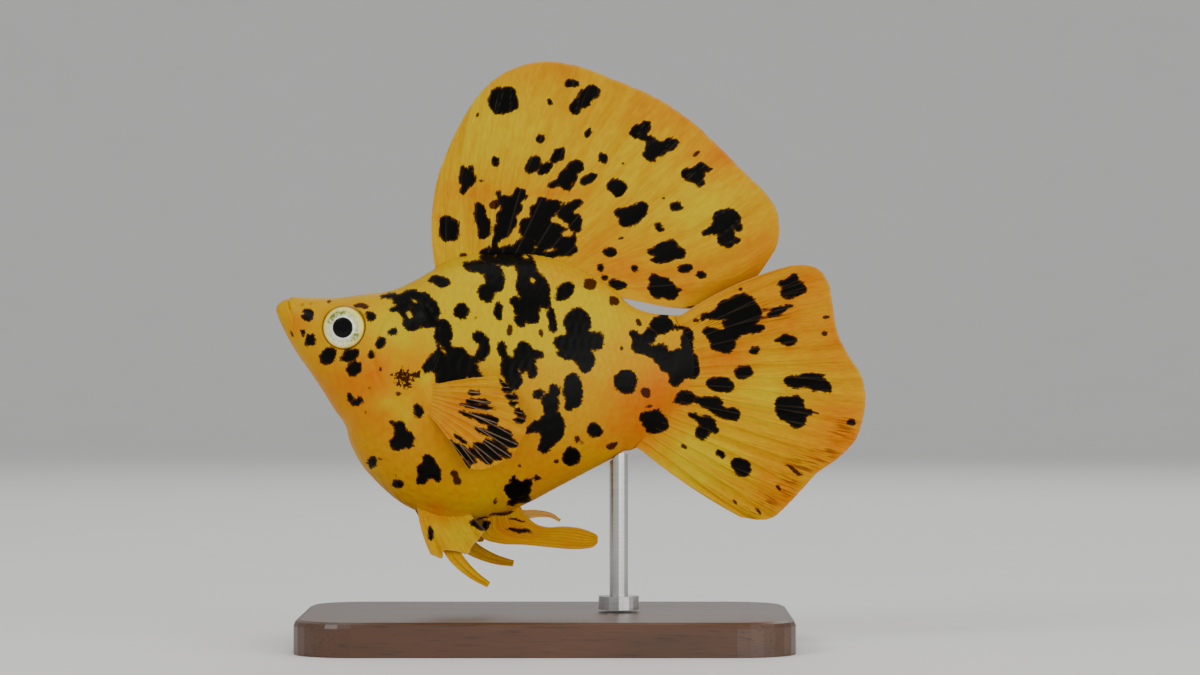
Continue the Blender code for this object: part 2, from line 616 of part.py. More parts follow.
def pelvic_fins(parts, tools, body_tool, look):
    """Each pelvic fin is a short fan with one long free lobe. Both stand apart a little more
    towards their tips."""
    web = fan(PELVIC_ROOT, PELVIC_MARGIN, lambda u: -0.3 + 0.3 * u)
    lobe = strap(PELVIC_STRAP, PELVIC_STRAP_WIDTHS)
    for side, pose, name in (
        (-1, (0.0, 1.0), "pelvic_fin_left"),
        (1, (PELVIC_SWING, PELVIC_STRETCH), "pelvic_fin_right"),
    ):
        def across(u, v, behind, above):
            return side * (PELVIC_HALF_SPREAD + PELVIC_SPLAY * v)

        def lobe_across(u, v, behind, above):
            return side * (PELVIC_HALF_SPREAD + PELVIC_SPLAY * (LOBE_START + LOBE_SPLAY * v))

        fin = vane(name, lambda u, v: swung(web(u, v), *pose), across, PELVIC_RAYS, 7, parts)
        long_ray = vane(
            name + "_lobe", lambda u, v: swung(lobe(u, v), *pose), lobe_across, 3, 9, tools, root_thick=0.6
        )
        fused(fin, [long_ray])
        combine(fin, "DIFFERENCE", [body_tool])
        fin.data.materials.append(look)


def stand(parts, tools, body_tool, wood, steel):
    """A flat base with rounded corners, and one round rod up to the belly behind the anal fin."""
    mesh = bpy.data.meshes.new("stand_base")
    shell = bmesh.new()
    bmesh.ops.create_cube(shell, size=1.0)
    bmesh.ops.scale(shell, verts=shell.verts, vec=(BASE_LENGTH * MM, BASE_DEPTH * MM, BASE_THICK * MM))
    corners = [e for e in shell.edges if abs(e.verts[0].co.z - e.verts[1].co.z) > 1e-6]
    bmesh.ops.bevel(shell, geom=corners, offset=BASE_CORNER * MM, segments=7, profile=0.5, affect="EDGES")
    top = [e for e in shell.edges if min(v.co.z for v in e.verts) > BASE_THICK * MM / 2 - 1e-6]
    bmesh.ops.bevel(shell, geom=top, offset=BASE_EDGE * MM, segments=2, profile=0.5, affect="EDGES")
    shell.to_mesh(mesh)
    shell.free()
    base = linked("stand_base", mesh, parts, wood)
    base.location = ((BASE_CENTRE - TOTAL_LENGTH / 2) * MM, 0.0, BASE_THICK / 2 * MM)
    rod_x = (ROD_BEHIND - TOTAL_LENGTH / 2) * MM
    low, high = (BASE_THICK + GAP) * MM, (SNOUT_HEIGHT + ROD_END) * MM
    foot_top = low + ROD_FOOT_HIGH * MM
    rod = cylinder("stand_rod", rod_x, low, high, ROD_RADIUS * MM, 20, parts)
    foot = cylinder("rod_foot", rod_x, low, foot_top, ROD_FOOT_RADIUS * MM, 24, tools)
    fused(rod, [foot])
    combine(rod, "DIFFERENCE", [body_tool])
    rod.data.materials.append(steel)


def cylinder(name, x, low, high, radius, sides, home):
    """An upright round rod, standing on the middle plane."""
    mesh = bpy.data.meshes.new(name)
    shell = bmesh.new()
    bmesh.ops.create_cone(
        shell, cap_ends=True, cap_tris=True, segments=sides, radius1=radius, radius2=radius, depth=high - low
    )
    bmesh.ops.translate(shell, verts=shell.verts, vec=(x, 0.0, (low + high) / 2))
    shell.to_mesh(mesh)
    shell.free()
    return linked(name, mesh, home)


def smooth_shading(home):
    for obj in home.objects:
        obj.data.shade_smooth()
        obj.data.set_sharp_from_angle(angle=math.radians(35))


def main():
    clear_scene()
    parts, tools = collection("balloon_molly"), collection("cutters")
    tools.hide_render = True
    looks = {name: material(name) for name in COLOURS}
    whole = body_mesh("whole_body", stations=70, sides=48)
    flank = flank_finder(whole)
    body_tool = linked("body_clearance", body_mesh("body_clearance", GAP), tools)
    made = flesh_nodes(parts, tools, looks["skin"])
    head = made["head"]
    gill_covers(head, parts, tools, looks["skin"])
    lips_and_nostrils(head, flank, tools)
    eyes(head, flank, parts, tools, looks["eye"])
    dorsal_fin(parts, tools, body_tool, looks["fin"])
    caudal_fin(parts, looks["fin"])
    anal_fin(parts, tools, body_tool, looks["fin"])
    pectoral_fins(flank, parts, body_tool, looks["fin"])
    pelvic_fins(parts, tools, body_tool, looks["fin"])
    stand(parts, tools, body_tool, looks["stand_wood"], looks["stand_steel"])
    smooth_shading(parts)
    for tool in tools.objects:
        tool.hide_render = True
        tool.display_type = "WIRE"


main()
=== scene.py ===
"""The finished look of the balloon molly: skin, fins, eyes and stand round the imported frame.

Sizes are in millimetres. A point on the fish is (behind, across, above): behind the tip of the
snout, across from the middle plane (minus on the fish's left) and above the snout's tip.
Places of markings are read from the photo as (behind, above) in the plane that it shows.
"""

import math

import bpy
import numpy as np
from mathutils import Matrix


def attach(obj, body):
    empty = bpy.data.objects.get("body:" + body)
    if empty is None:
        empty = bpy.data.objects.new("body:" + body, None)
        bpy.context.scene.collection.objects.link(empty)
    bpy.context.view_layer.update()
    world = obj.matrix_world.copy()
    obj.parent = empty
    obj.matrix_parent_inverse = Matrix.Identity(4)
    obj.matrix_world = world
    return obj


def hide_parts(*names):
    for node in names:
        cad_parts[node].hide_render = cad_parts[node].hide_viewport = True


MM = 0.001
TOTAL_LENGTH = 70.0  # from the snout to the tail fin's tip
SNOUT_HEIGHT = 39.8  # over the underside of the stand

# Where the photo was taken from: the camera's place in metres and its lens in millimetres
CAMERA_AT = (0.003376, -0.5, 0.03649)
CAMERA_LENS = 126.6
CAMERA_FAR = 500.0  # millimetres from the middle plane
SEEN_BEHIND, SEEN_ABOVE = 38.376, -3.31  # the point on the fish that the camera faces
MODEL_MIDDLE = (0.0, 0.0, 0.035)  # where the lamps point, in metres

# The body's ribs, as in the solids: behind and above of the back, behind and above of the
# belly, and half the width
RIBS = (
    (0.15, 0.5, 0.15, -0.5, 1.0),
    (0.7, 1.0, 0.5, -1.5, 1.7),
    (1.9, 1.5, 1.4, -3.3, 2.5),
    (4.0, 1.4, 2.5, -5.2, 3.3),
    (7.2, 1.4, 4.2, -7.6, 4.3),
    (10.4, 1.8, 5.6, -9.7, 5.0),
    (13.4, 2.2, 6.9, -11.8, 5.6),
    (16.0, 3.2, 8.2, -13.7, 6.1),
    (18.8, 4.7, 9.0, -16.3, 6.6),
    (22.0, 5.9, 11.1, -19.5, 7.0),
    (25.4, 6.4, 15.8, -23.4, 7.3),
    (29.0, 6.3, 22.4, -25.0, 7.2),
    (32.6, 5.8, 28.4, -23.5, 6.6),
    (36.0, 4.4, 33.6, -20.9, 5.6),
    (39.2, 2.6, 38.0, -18.6, 4.4),
    (42.6, 0.4, 41.6, -16.9, 3.1),
    (46.0, -0.5, 45.0, -16.6, 2.0),
    (51.0, -0.7, 51.0, -15.2, 1.1),
)
# At the ribs with these numbers: the section's widest level, from -1 at the belly to 1 at the
# back, and the powers of its outline over and under that level
SECTION_RIBS = (0, 4, 8, 11, 14, 17)
WIDEST_LEVEL = (0.0, 0.16, -0.06, -0.2, -0.05, 0.0)
SQUARE_ABOVE = (2.4, 2.5, 2.1, 1.95, 1.9, 1.8)
SQUARE_BELOW = (2.4, 2.1, 2.1, 2.15, 1.9, 1.8)
# The skin's grid: points along the body and round it, and rings that close the snout
SKIN_STATIONS, SKIN_SIDES, SNOUT_RINGS = 296, 304, 16
SNOUT_DOME = 0.12  # how far the closed snout stands before the first rib
STALK_THIN = 0.1  # the share of its width that the tail stalk keeps inside the tail fin

# Lines in the side view: the gill cover's rear edge, the groove before the cover, the tail fin's
# root and the fold of the jaw
GILL_EDGE = (
    (14.0, 5.4), (15.6, 2.8), (17.5, 0.6), (19.0, -2.1), (19.2, -5.0),
    (17.9, -7.6), (15.2, -10.2), (11.6, -12.2), (8.3, -13.6), (5.0, -14.6),
)
COVER_FRONT = ((14.9, 0.6), (12.9, -1.6), (11.9, -4.6), (12.2, -7.4), (13.6, -10.1))
CAUDAL_BASE = ((48.2, -0.5), (49.6, -3.3), (50.0, -7.1), (48.6, -11.0), (46.2, -14.2), (43.4, -16.8))
JAW_FOLD = ((1.85, -0.2), (2.15, -1.3), (2.0, -2.7))
# From where the body is drawn to the tail fin's root, and how far it reaches past that
TAIL_FROM, TAIL_OVERLAP = 40.5, 0.8

EYE_AT = (8.3, -2.15)
EYE_TURN = math.radians(9)  # how far the eyes look ahead
EYE_RADIUS = 2.62
PUPIL_RADIUS = 1.2
# Turns from the tail's side round the iris: its upper and lower olive arcs and its white part
OLIVE_TURN, LOW_OLIVE_TURN, PEARL_TURN = math.radians(125), math.radians(-38), math.radians(235)
EYE_SINK, EYE_DOME = 0.5, 1.1  # how deep the eye's rim sits in the head, and its dome over that
# How deep its back is, the power of its outline, the pupil's bulge and the iris's dip
EYE_BACK, EYE_POWER, PUPIL_BULGE, IRIS_DIP = 0.5, 2.6, 0.05, 0.06
EYE_RINGS, EYE_SIDES = 60, 96
# The socket's depth, the height of the fold round it, and how far from the axis the skin moves
SOCKET_DEEP, LID_HIGH, EYE_NEAR = 0.95, 0.09, 4.0
NOSTRILS = ((3.2, 0.6), (4.2, 0.75))
# The mouth's cleft, from above the snout down to its corner, and the cleft's half width and depth
MOUTH = ((1.42, 2.0), (1.5, 1.2), (1.66, 0.5), (1.87, -0.2))
CLEFT_WIDE, CLEFT_DEEP = 0.085, 0.3
# Heights and depths of the head's other forms. GILL_SLOPE is the length over which the cover rises.
GILL_LIFT, GILL_SLOPE, GILL_GROOVE, CHEEK_GROOVE = 0.42, 1.7, 0.26, 0.16
FOLD_DEEP, LIP_SWELL, JAW_DROP, NOSTRIL_RIM, NOSTRIL_PIT = 0.11, 0.09, 0.1, 0.05, 0.4
# The scales: rows from the back to the belly, the longest one, its free edge's bulge in scales,
# the height of that edge and how soft it is, and their size along the body as shares of that
SCALE_ROWS = 22
SCALE_LENGTH, SCALE_BULGE, SCALE_LIFT, SCALE_EDGE = 1.45, 0.85, 0.12, 0.16
SCALE_SHARES_AT, SCALE_SHARES = (0.0, 0.3, 0.6, 0.8, 1.0), (0.35, 0.75, 1.0, 0.7, 0.42)
# How far the skin swells at the fins' roots, and where it does at the pectoral fins
DORSAL_SWELL, PECTORAL_SWELL, PELVIC_SWELL = 0.32, 0.3, 0.4
PECTORAL_AT = (18.2, -10.5)

# A ray's half width at the margin and what its root adds, the half widths of the pale edges at a
# fin's sides and margin, and the share of each ray's length that the ragged margin leaves off
RAY_WIDE, RAY_ROOT_WIDER, SIDE_WIDE, RIM_WIDE, MARGIN_SHORT = 0.075, 0.05, 0.14, 0.2, 0.0075
# Each fin has the lines of its outline, the number of its rays, and a grid: points across the
# rays and along them. The sail's rear leans to the fish's right, the tail fin's corners stand to
# the two sides, and both ripple.
DORSAL_ROOT = ((19.1, 3.8), (21.8, 4.9), (25.4, 5.4), (29.0, 5.3), (32.6, 4.8), (36.0, 3.3), (39.2, 1.6))
DORSAL_MARGIN = (
    (19.4, 16.6), (20.8, 20.1), (22.8, 23.9), (25.2, 26.9), (28.2, 28.8), (31.9, 29.6), (36.0, 29.0),
    (40.8, 27.2), (45.2, 25.3), (49.3, 22.6), (52.5, 19.7), (55.8, 16.4), (58.2, 14.1), (59.5, 12.1),
    (59.9, 10.2), (59.7, 8.2), (58.8, 6.3), (57.4, 4.5),
)
DORSAL_RAYS, DORSAL_GRID = 15, (360, 130)
DORSAL_LEAN, DORSAL_WAVE = 3.3, 0.45
CAUDAL_MARGIN = (
    (60.9, 5.2), (62.8, 5.3), (64.5, 4.7), (65.6, 3.0), (66.0, 0.8), (66.6, -2.6), (67.9, -5.3),
    (69.5, -7.8), (70.0, -10.4), (69.7, -13.0), (68.8, -15.5), (66.7, -17.7), (64.3, -19.4),
    (62.2, -21.7), (60.4, -23.6), (58.9, -24.8), (57.2, -25.0), (55.2, -24.7),
)
CAUDAL_RAYS, CAUDAL_GRID = 18, (380, 120)
CAUDAL_TWIST, CAUDAL_RIPPLE = (-1.1, 0.9), 0.3
ANAL_FRONT = (
    (24.9, -23.2), (24.3, -26.7), (26.4, -27.7), (29.6, -27.9), (32.6, -28.2), (35.2, -28.4),
    (37.4, -28.2), (38.2, -27.5),
)
ANAL_REAR = (
    (28.4, -22.3), (29.5, -24.2), (30.8, -25.4), (32.3, -25.8), (34.0, -25.7), (36.0, -25.9),
    (37.7, -26.5), (38.2, -27.0),
)
ANAL_RAYS, ANAL_GRID = 8, (120, 150)
ANAL_HOOK = ((26.6, -23.6), (28.6, -24.3), (30.8, -24.2), (32.5, -24.4), (33.7, -25.1))
ANAL_HOOK_WIDTHS = (1.5, 1.0, 0.35)
PECTORAL_ROOT = ((18.7, -8.9), (18.1, -10.5), (18.3, -12.1))
PECTORAL_MARGIN = (
    (26.4, -7.8), (27.7, -8.9), (28.6, -10.5), (29.6, -12.6), (29.9, -14.2), (29.0, -15.9),
    (28.2, -17.3), (26.2, -18.3), (24.6, -18.8), (23.1, -18.6),
)
PECTORAL_RAYS, PECTORAL_GRID = 11, (200, 90)
# How far the pectoral fins stand off the flank, at shares of their length
PECTORAL_SHARES, PECTORAL_OFF = (0.0, 0.12, 0.3, 1.0), (-0.5, 0.35, 1.0, 2.4)
PELVIC_ROOT = ((16.7, -22.5), (19.2, -23.2), (22.2, -23.3))
PELVIC_MARGIN = (
    (18.5, -28.8), (19.8, -29.3), (20.1, -28.4), (21.6, -28.5), (22.9, -28.8), (23.3, -28.0),
    (24.2, -27.0), (24.9, -25.9),
)
PELVIC_RAYS, PELVIC_GRID = 7, (110, 70)
PELVIC_STRAP = ((19.0, -24.0), (20.0, -26.6), (21.4, -29.1), (23.3, -31.0), (25.4, -32.35))
PELVIC_STRAP_WIDTHS = (2.2, 1.7, 0.7)
# How far the pelvic fins' roots lie from the middle plane and how much farther their tips do. Their
# free lobes start at a share of that splay and gain more of it.
PELVIC_HALF_SPREAD, PELVIC_SPLAY = 2.05, 2.2
LOBE_START, LOBE_SPLAY = 0.1, 1.35
LOBE_RAYS, ANAL_LOBE_GRID, PELVIC_LOBE_GRID = 3, (26, 90), (30, 110)
# The right pelvic fin is the left one's mirror image, swung back about this hinge and stretched
PELVIC_HINGE = (19.4, -24.0)
PELVIC_SWING, PELVIC_STRETCH = math.radians(18), 1.05

# Black blotches as ellipses: behind, above, half length, half height, tilt in degrees with the
# tail end up. Those that touch run together. Far from all of them a point has the depth FAR_OUTSIDE.
FAR_OUTSIDE = -9.0
HEAD_BLOTCHES = (
    (3.75, -0.6, 0.68, 0.72, 0), (3.27, -2.7, 0.22, 0.35, 20), (4.1, -3.6, 0.6, 0.62, 0),
    (3.7, -4.0, 0.3, 0.4, 0), (6.1, -5.5, 0.82, 0.95, -10), (5.6, -6.3, 0.35, 0.3, 0),
    (6.7, -5.0, 0.4, 0.45, 0), (8.8, -5.4, 0.9, 0.68, 15), (9.4, -5.1, 0.45, 0.5, 0),
    (8.1, -5.85, 0.55, 0.4, 0), (9.25, -7.05, 0.82, 0.92, -20), (11.25, -0.75, 0.62, 0.53, -10),
    (12.4, -3.85, 0.56, 0.74, -15), (13.8, -2.7, 0.45, 0.44, 0), (11.25, -5.3, 0.32, 0.44, -20),
    (8.7, -10.4, 0.32, 0.5, 20), (9.5, -10.95, 0.65, 0.38, 10), (9.9, -10.6, 0.25, 0.35, 0),
    (16.7, -11.7, 0.4, 0.6, 20), (17.0, -12.3, 0.42, 0.62, -15), (13.8, -13.45, 0.2, 0.38, 20),
    (14.7, -14.3, 0.72, 1.1, 0), (15.5, -15.3, 0.85, 0.85, 0), (14.3, -15.9, 0.85, 0.72, -10),
    (14.9, -15.5, 0.9, 1.1, 0), (15.6, -16.1, 0.6, 0.35, 0),
)
NAPE_BLOTCHES = (
    (16.4, 1.3, 1.85, 0.95, -5), (17.6, -0.3, 1.7, 1.55, 0), (16.2, -1.6, 1.1, 1.0, 0),
    (15.2, -0.1, 0.85, 1.15, 25), (13.5, 1.58, 1.0, 0.27, 5), (14.5, 1.15, 0.6, 0.6, 0),
    (14.1, 0.15, 0.75, 0.28, 8), (18.6, 0.2, 0.75, 1.1, 20), (18.0, -1.6, 0.9, 0.5, 10),
    (18.85, -1.6, 0.55, 0.5, 0), (19.3, -6.7, 0.85, 1.0, -30), (19.6, -7.6, 0.6, 0.5, 0),
    (19.8, -2.8, 1.05, 1.7, -5), (19.9, -4.6, 0.95, 1.1, 0), (21.0, -6.3, 2.2, 1.8, 0),
    (18.6, -6.2, 1.6, 0.75, 50), (23.4, -5.9, 0.8, 0.4, 0), (22.8, -7.7, 1.7, 0.4, 0),
    (20.3, -8.2, 1.9, 0.55, 0), (22.6, -7.0, 1.3, 0.8, 0), (21.7, -4.9, 0.6, 0.5, -20),
)
FLANK_BLOTCHES = (
    (19.6, 3.3, 1.0, 0.6, -5), (18.7, 3.6, 0.6, 0.35, 15), (21.95, -0.2, 0.85, 0.98, 0),
    (26.3, -0.2, 0.46, 1.1, 5), (34.3, 2.25, 1.1, 0.9, 35), (33.6, 1.6, 0.55, 0.6, 0),
    (24.4, 5.0, 2.2, 0.75, -8), (25.9, 3.6, 1.15, 1.5, 10), (24.9, 2.0, 1.0, 1.1, 0),
    (25.4, 6.0, 1.2, 0.5, 0), (29.6, 5.0, 1.2, 1.3, -20), (30.6, 2.3, 1.8, 2.1, 0),
    (29.7, 0.1, 1.6, 1.3, 0), (29.0, -1.3, 0.7, 0.7, 0), (28.3, 1.0, 0.5, 0.6, 0),
    (32.7, -1.1, 0.42, 1.6, 10), (32.7, -2.1, 0.38, 0.55, 0), (31.8, 1.0, 0.8, 0.9, 0),
    (27.5, 6.3, 1.6, 0.8, 0), (27.3, 6.1, 3.1, 0.85, 0), (26.2, 6.7, 2.0, 0.6, 0),
    (29.1, 3.6, 0.65, 2.2, 0), (30.3, -0.85, 0.85, 0.85, 0), (24.0, -3.2, 0.7, 0.7, 0),
    (24.7, -4.4, 0.6, 1.25, 0), (24.3, -5.4, 0.6, 0.85, 0), (26.8, -4.9, 0.5, 1.2, 10),
    (27.6, -7.0, 0.95, 1.5, 0), (29.4, -5.6, 1.25, 1.8, 5), (30.6, -5.35, 1.0, 0.55, 0),
    (30.1, -6.4, 0.7, 0.9, 0), (28.2, -8.2, 0.9, 1.2, 0), (30.3, -7.4, 0.55, 0.8, 0),
    (28.4, -6.3, 0.9, 0.7, 0), (27.5, -9.5, 0.7, 0.3, 0), (27.9, -10.3, 0.75, 0.28, 0),
    (28.2, -11.1, 0.45, 0.28, 0), (31.1, -9.95, 0.6, 0.55, 0), (33.0, -9.6, 0.65, 0.7, 0),
    (32.5, -11.3, 1.0, 1.4, 8), (32.7, -13.9, 1.5, 1.9, 0), (32.4, -15.2, 1.2, 0.9, 30),
    (31.8, -16.2, 0.7, 0.8, 0), (30.0, -14.3, 0.85, 0.42, 5), (31.0, -13.8, 0.85, 0.68, 15),
    (35.2, -9.7, 1.08, 2.0, 3), (34.9, -8.55, 0.78, 0.85, 0), (35.5, -8.6, 0.68, 0.8, 0),
    (35.45, -10.4, 0.82, 1.2, 0), (34.8, -11.3, 0.6, 0.6, 0), (35.7, -1.6, 1.6, 1.7, 0),
    (35.9, -5.4, 1.0, 0.9, -30), (35.9, -3.8, 2.0, 1.45, 0), (33.7, -3.9, 0.8, 0.8, 0),
    (34.6, -5.0, 0.9, 0.9, 0), (38.0, -3.7, 0.85, 1.1, 0), (36.7, -6.0, 1.05, 1.45, 0),
    (34.2, -5.2, 0.8, 0.65, 0),
)
BELLY_BLOTCHES = (
    (11.4, -18.05, 0.5, 0.75, 0), (14.4, -20.65, 0.7, 0.42, 0), (18.05, -19.1, 1.38, 0.95, 0),
    (18.05, -18.1, 0.8, 0.95, 0), (17.3, -20.05, 0.7, 0.6, 20), (19.1, -19.75, 0.45, 0.65, 0),
    (28.6, -21.45, 1.5, 1.2, 0), (28.2, -20.3, 0.4, 0.6, 0), (29.8, -20.6, 0.6, 0.5, 0),
    (29.4, -22.4, 0.75, 0.55, 0), (28.4, -22.6, 0.9, 0.5, 20), (30.9, -19.9, 0.3, 0.25, 0),
    (35.0, -17.4, 1.0, 1.1, 0), (37.7, -14.3, 0.9, 0.8, 0), (26.0, -22.7, 0.25, 0.28, 0),
    (24.7, -25.0, 0.9, 0.5, 0),
)
STALK_BLOTCHES = (
    (41.4, -8.55, 1.35, 1.45, 0), (44.9, -13.25, 1.42, 1.32, 0), (43.9, -12.7, 0.9, 0.6, 0),
    (45.6, -13.7, 0.9, 0.7, -20), (44.4, -14.2, 0.55, 0.5, 0), (45.7, -1.9, 1.35, 1.05, 0),
    (46.0, -0.7, 0.5, 0.5, 0), (43.2, -4.1, 1.05, 1.2, 0), (42.45, -3.0, 0.5, 0.55, 0),
    (44.4, -4.8, 1.3, 0.6, 0), (47.6, -6.2, 2.3, 1.45, 0), (47.3, -8.3, 0.7, 0.7, 0),
    (48.7, -4.0, 0.75, 1.85, 0), (49.5, -6.8, 0.6, 1.35, 0), (47.6, -2.1, 0.8, 0.22, 0),
    (48.9, -7.6, 0.9, 0.6, 0), (45.3, -5.0, 1.3, 0.85, 0), (44.3, -3.1, 0.8, 0.9, 20),
    (46.2, -5.9, 1.5, 1.0, -15), (47.5, -7.5, 1.0, 1.0, 0), (48.5, -10.4, 1.25, 0.8, 8),
    (48.0, -10.75, 0.85, 0.45, 15),
)
BODY_BLOTCHES = HEAD_BLOTCHES + NAPE_BLOTCHES + FLANK_BLOTCHES + BELLY_BLOTCHES + STALK_BLOTCHES
DORSAL_BLOTCHES = (
    (26.9, 24.8, 1.75, 1.55, 0), (27.5, 25.6, 0.85, 0.7, 0), (26.3, 23.7, 0.7, 0.6, 0),
    (28.0, 24.4, 0.7, 0.7, 0), (35.05, 26.7, 0.8, 0.36, 0), (34.6, 26.9, 0.35, 0.38, 0),
    (37.2, 25.7, 1.15, 0.8, 15), (36.2, 24.7, 1.15, 0.8, 50), (35.5, 23.8, 0.65, 0.75, 20),
    (36.6, 25.0, 1.4, 0.85, 52), (32.4, 24.55, 0.32, 0.38, 0), (31.25, 20.25, 0.42, 0.42, 0),
    (36.95, 20.95, 0.58, 0.4, 50), (26.0, 17.6, 0.46, 0.62, 0), (22.6, 15.6, 0.85, 1.15, 0),
    (22.1, 16.5, 0.38, 0.45, 0), (23.1, 16.8, 0.32, 0.35, 0), (22.2, 14.3, 0.42, 0.6, 0),
    (23.2, 15.3, 0.45, 0.6, 0), (20.5, 9.5, 1.2, 1.3, 0), (20.2, 10.5, 0.7, 0.6, 0),
    (20.6, 8.5, 0.8, 0.5, 0), (30.5, 17.2, 1.15, 0.8, 60), (33.4, 18.3, 1.05, 0.68, 42),
    (31.9, 16.8, 1.05, 0.5, 38), (35.4, 16.9, 0.95, 0.85, 20), (34.5, 15.7, 1.35, 1.0, 38),
    (33.0, 14.85, 0.9, 0.32, 25), (34.5, 14.6, 0.6, 0.5, 0), (37.0, 15.45, 1.0, 0.55, 28),
    (38.7, 18.0, 0.52, 0.55, 0), (40.4, 14.6, 1.1, 0.95, 0), (40.6, 13.9, 0.6, 0.55, 0),
    (42.1, 11.2, 1.7, 1.15, 25), (43.3, 12.2, 0.9, 0.6, 10), (41.0, 11.4, 1.0, 0.55, 0),
    (41.9, 10.4, 0.85, 0.5, 0), (45.5, 9.65, 0.5, 0.3, 0), (45.3, 9.95, 0.26, 0.38, 0),
    (39.55, 6.8, 0.72, 0.52, 0), (38.45, 4.95, 0.36, 0.36, 0), (38.95, 3.8, 0.4, 0.28, 0),
    (42.5, 4.85, 0.38, 0.32, 0), (46.3, 6.9, 1.6, 1.2, 0), (47.6, 6.7, 0.95, 0.7, 0),
    (44.9, 7.0, 0.9, 0.42, 10), (45.2, 5.9, 0.85, 0.42, 0), (46.9, 7.9, 0.6, 0.4, 0),
    (48.5, 4.95, 0.82, 0.46, 5), (50.4, 4.2, 0.56, 0.38, -5), (45.6, 2.6, 1.45, 1.3, 0),
    (46.6, 2.2, 1.1, 0.95, 0), (45.0, 3.5, 0.8, 0.6, 0), (47.7, 2.4, 0.4, 0.12, 0),
    (47.4, 12.3, 0.7, 0.58, 0), (43.2, 21.3, 1.1, 0.8, 35), (43.9, 22.0, 0.55, 0.42, 0),
    (42.4, 20.8, 0.5, 0.42, 0), (44.1, 20.3, 1.1, 0.36, -10), (45.0, 19.2, 1.25, 1.05, 0),
    (46.6, 19.6, 1.0, 0.7, 20), (47.2, 20.0, 0.45, 0.38, 0), (44.3, 18.3, 0.75, 0.55, 0),
    (49.6, 16.0, 1.25, 0.9, 0), (50.4, 16.9, 0.85, 0.5, 20), (50.2, 15.3, 0.6, 0.6, 0),
    (48.6, 16.2, 0.55, 0.65, 0), (51.4, 16.7, 0.4, 0.14, 0), (53.5, 10.8, 1.6, 1.3, 0),
    (52.3, 9.8, 1.2, 0.7, 30), (51.2, 9.2, 0.8, 0.28, 15), (53.4, 8.4, 1.1, 0.9, 0),
    (53.4, 9.3, 0.85, 0.7, 0), (54.5, 8.3, 0.55, 0.32, 0), (54.9, 9.9, 0.5, 0.5, 0),
    (24.1, 11.6, 0.66, 1.15, 10), (24.6, 10.1, 0.85, 1.2, 15), (24.6, 9.0, 0.62, 0.6, 0),
    (26.0, 12.5, 0.5, 0.32, 20), (26.4, 13.6, 0.22, 0.55, 0), (28.8, 13.5, 0.8, 0.95, -15),
    (27.9, 12.2, 1.25, 1.1, 0), (27.3, 10.6, 1.25, 1.3, 0), (26.9, 9.4, 1.1, 0.9, 0),
    (26.4, 8.8, 0.5, 0.6, 0), (26.9, 13.0, 0.66, 0.5, 0), (31.5, 11.3, 1.5, 1.5, 0),
    (32.9, 12.3, 1.3, 0.75, 0), (30.6, 9.4, 1.4, 1.25, 0), (32.6, 8.8, 2.1, 1.4, 0),
    (34.4, 8.2, 1.25, 1.05, 0), (35.2, 12.4, 1.15, 0.55, 28), (35.5, 10.0, 0.8, 0.85, 0),
    (34.2, 11.4, 1.0, 0.75, 0), (33.8, 7.4, 1.5, 0.75, 0), (30.8, 7.3, 1.8, 0.7, 0),
    (31.9, 6.6, 1.4, 0.6, 0), (31.4, 12.9, 0.6, 0.45, 0), (35.6, 10.6, 0.55, 0.6, 0),
    (34.8, 10.9, 0.95, 0.6, -30), (29.8, 9.7, 1.0, 1.2, 0), (29.6, 7.4, 1.6, 1.1, 0),
    (26.9, 6.6, 2.6, 0.95, 0), (25.95, 7.8, 0.36, 1.1, 0), (34.2, 6.95, 1.5, 0.62, 8),
    (26.0, 6.6, 1.6, 0.75, 0), (28.0, 6.9, 1.5, 0.65, 0), (24.9, 6.6, 0.65, 0.5, 0),
    (23.6, 5.0, 1.4, 0.32, -5), (27.0, 5.6, 3.2, 0.7, 0), (40.5, 2.98, 1.12, 0.52, -5),
)
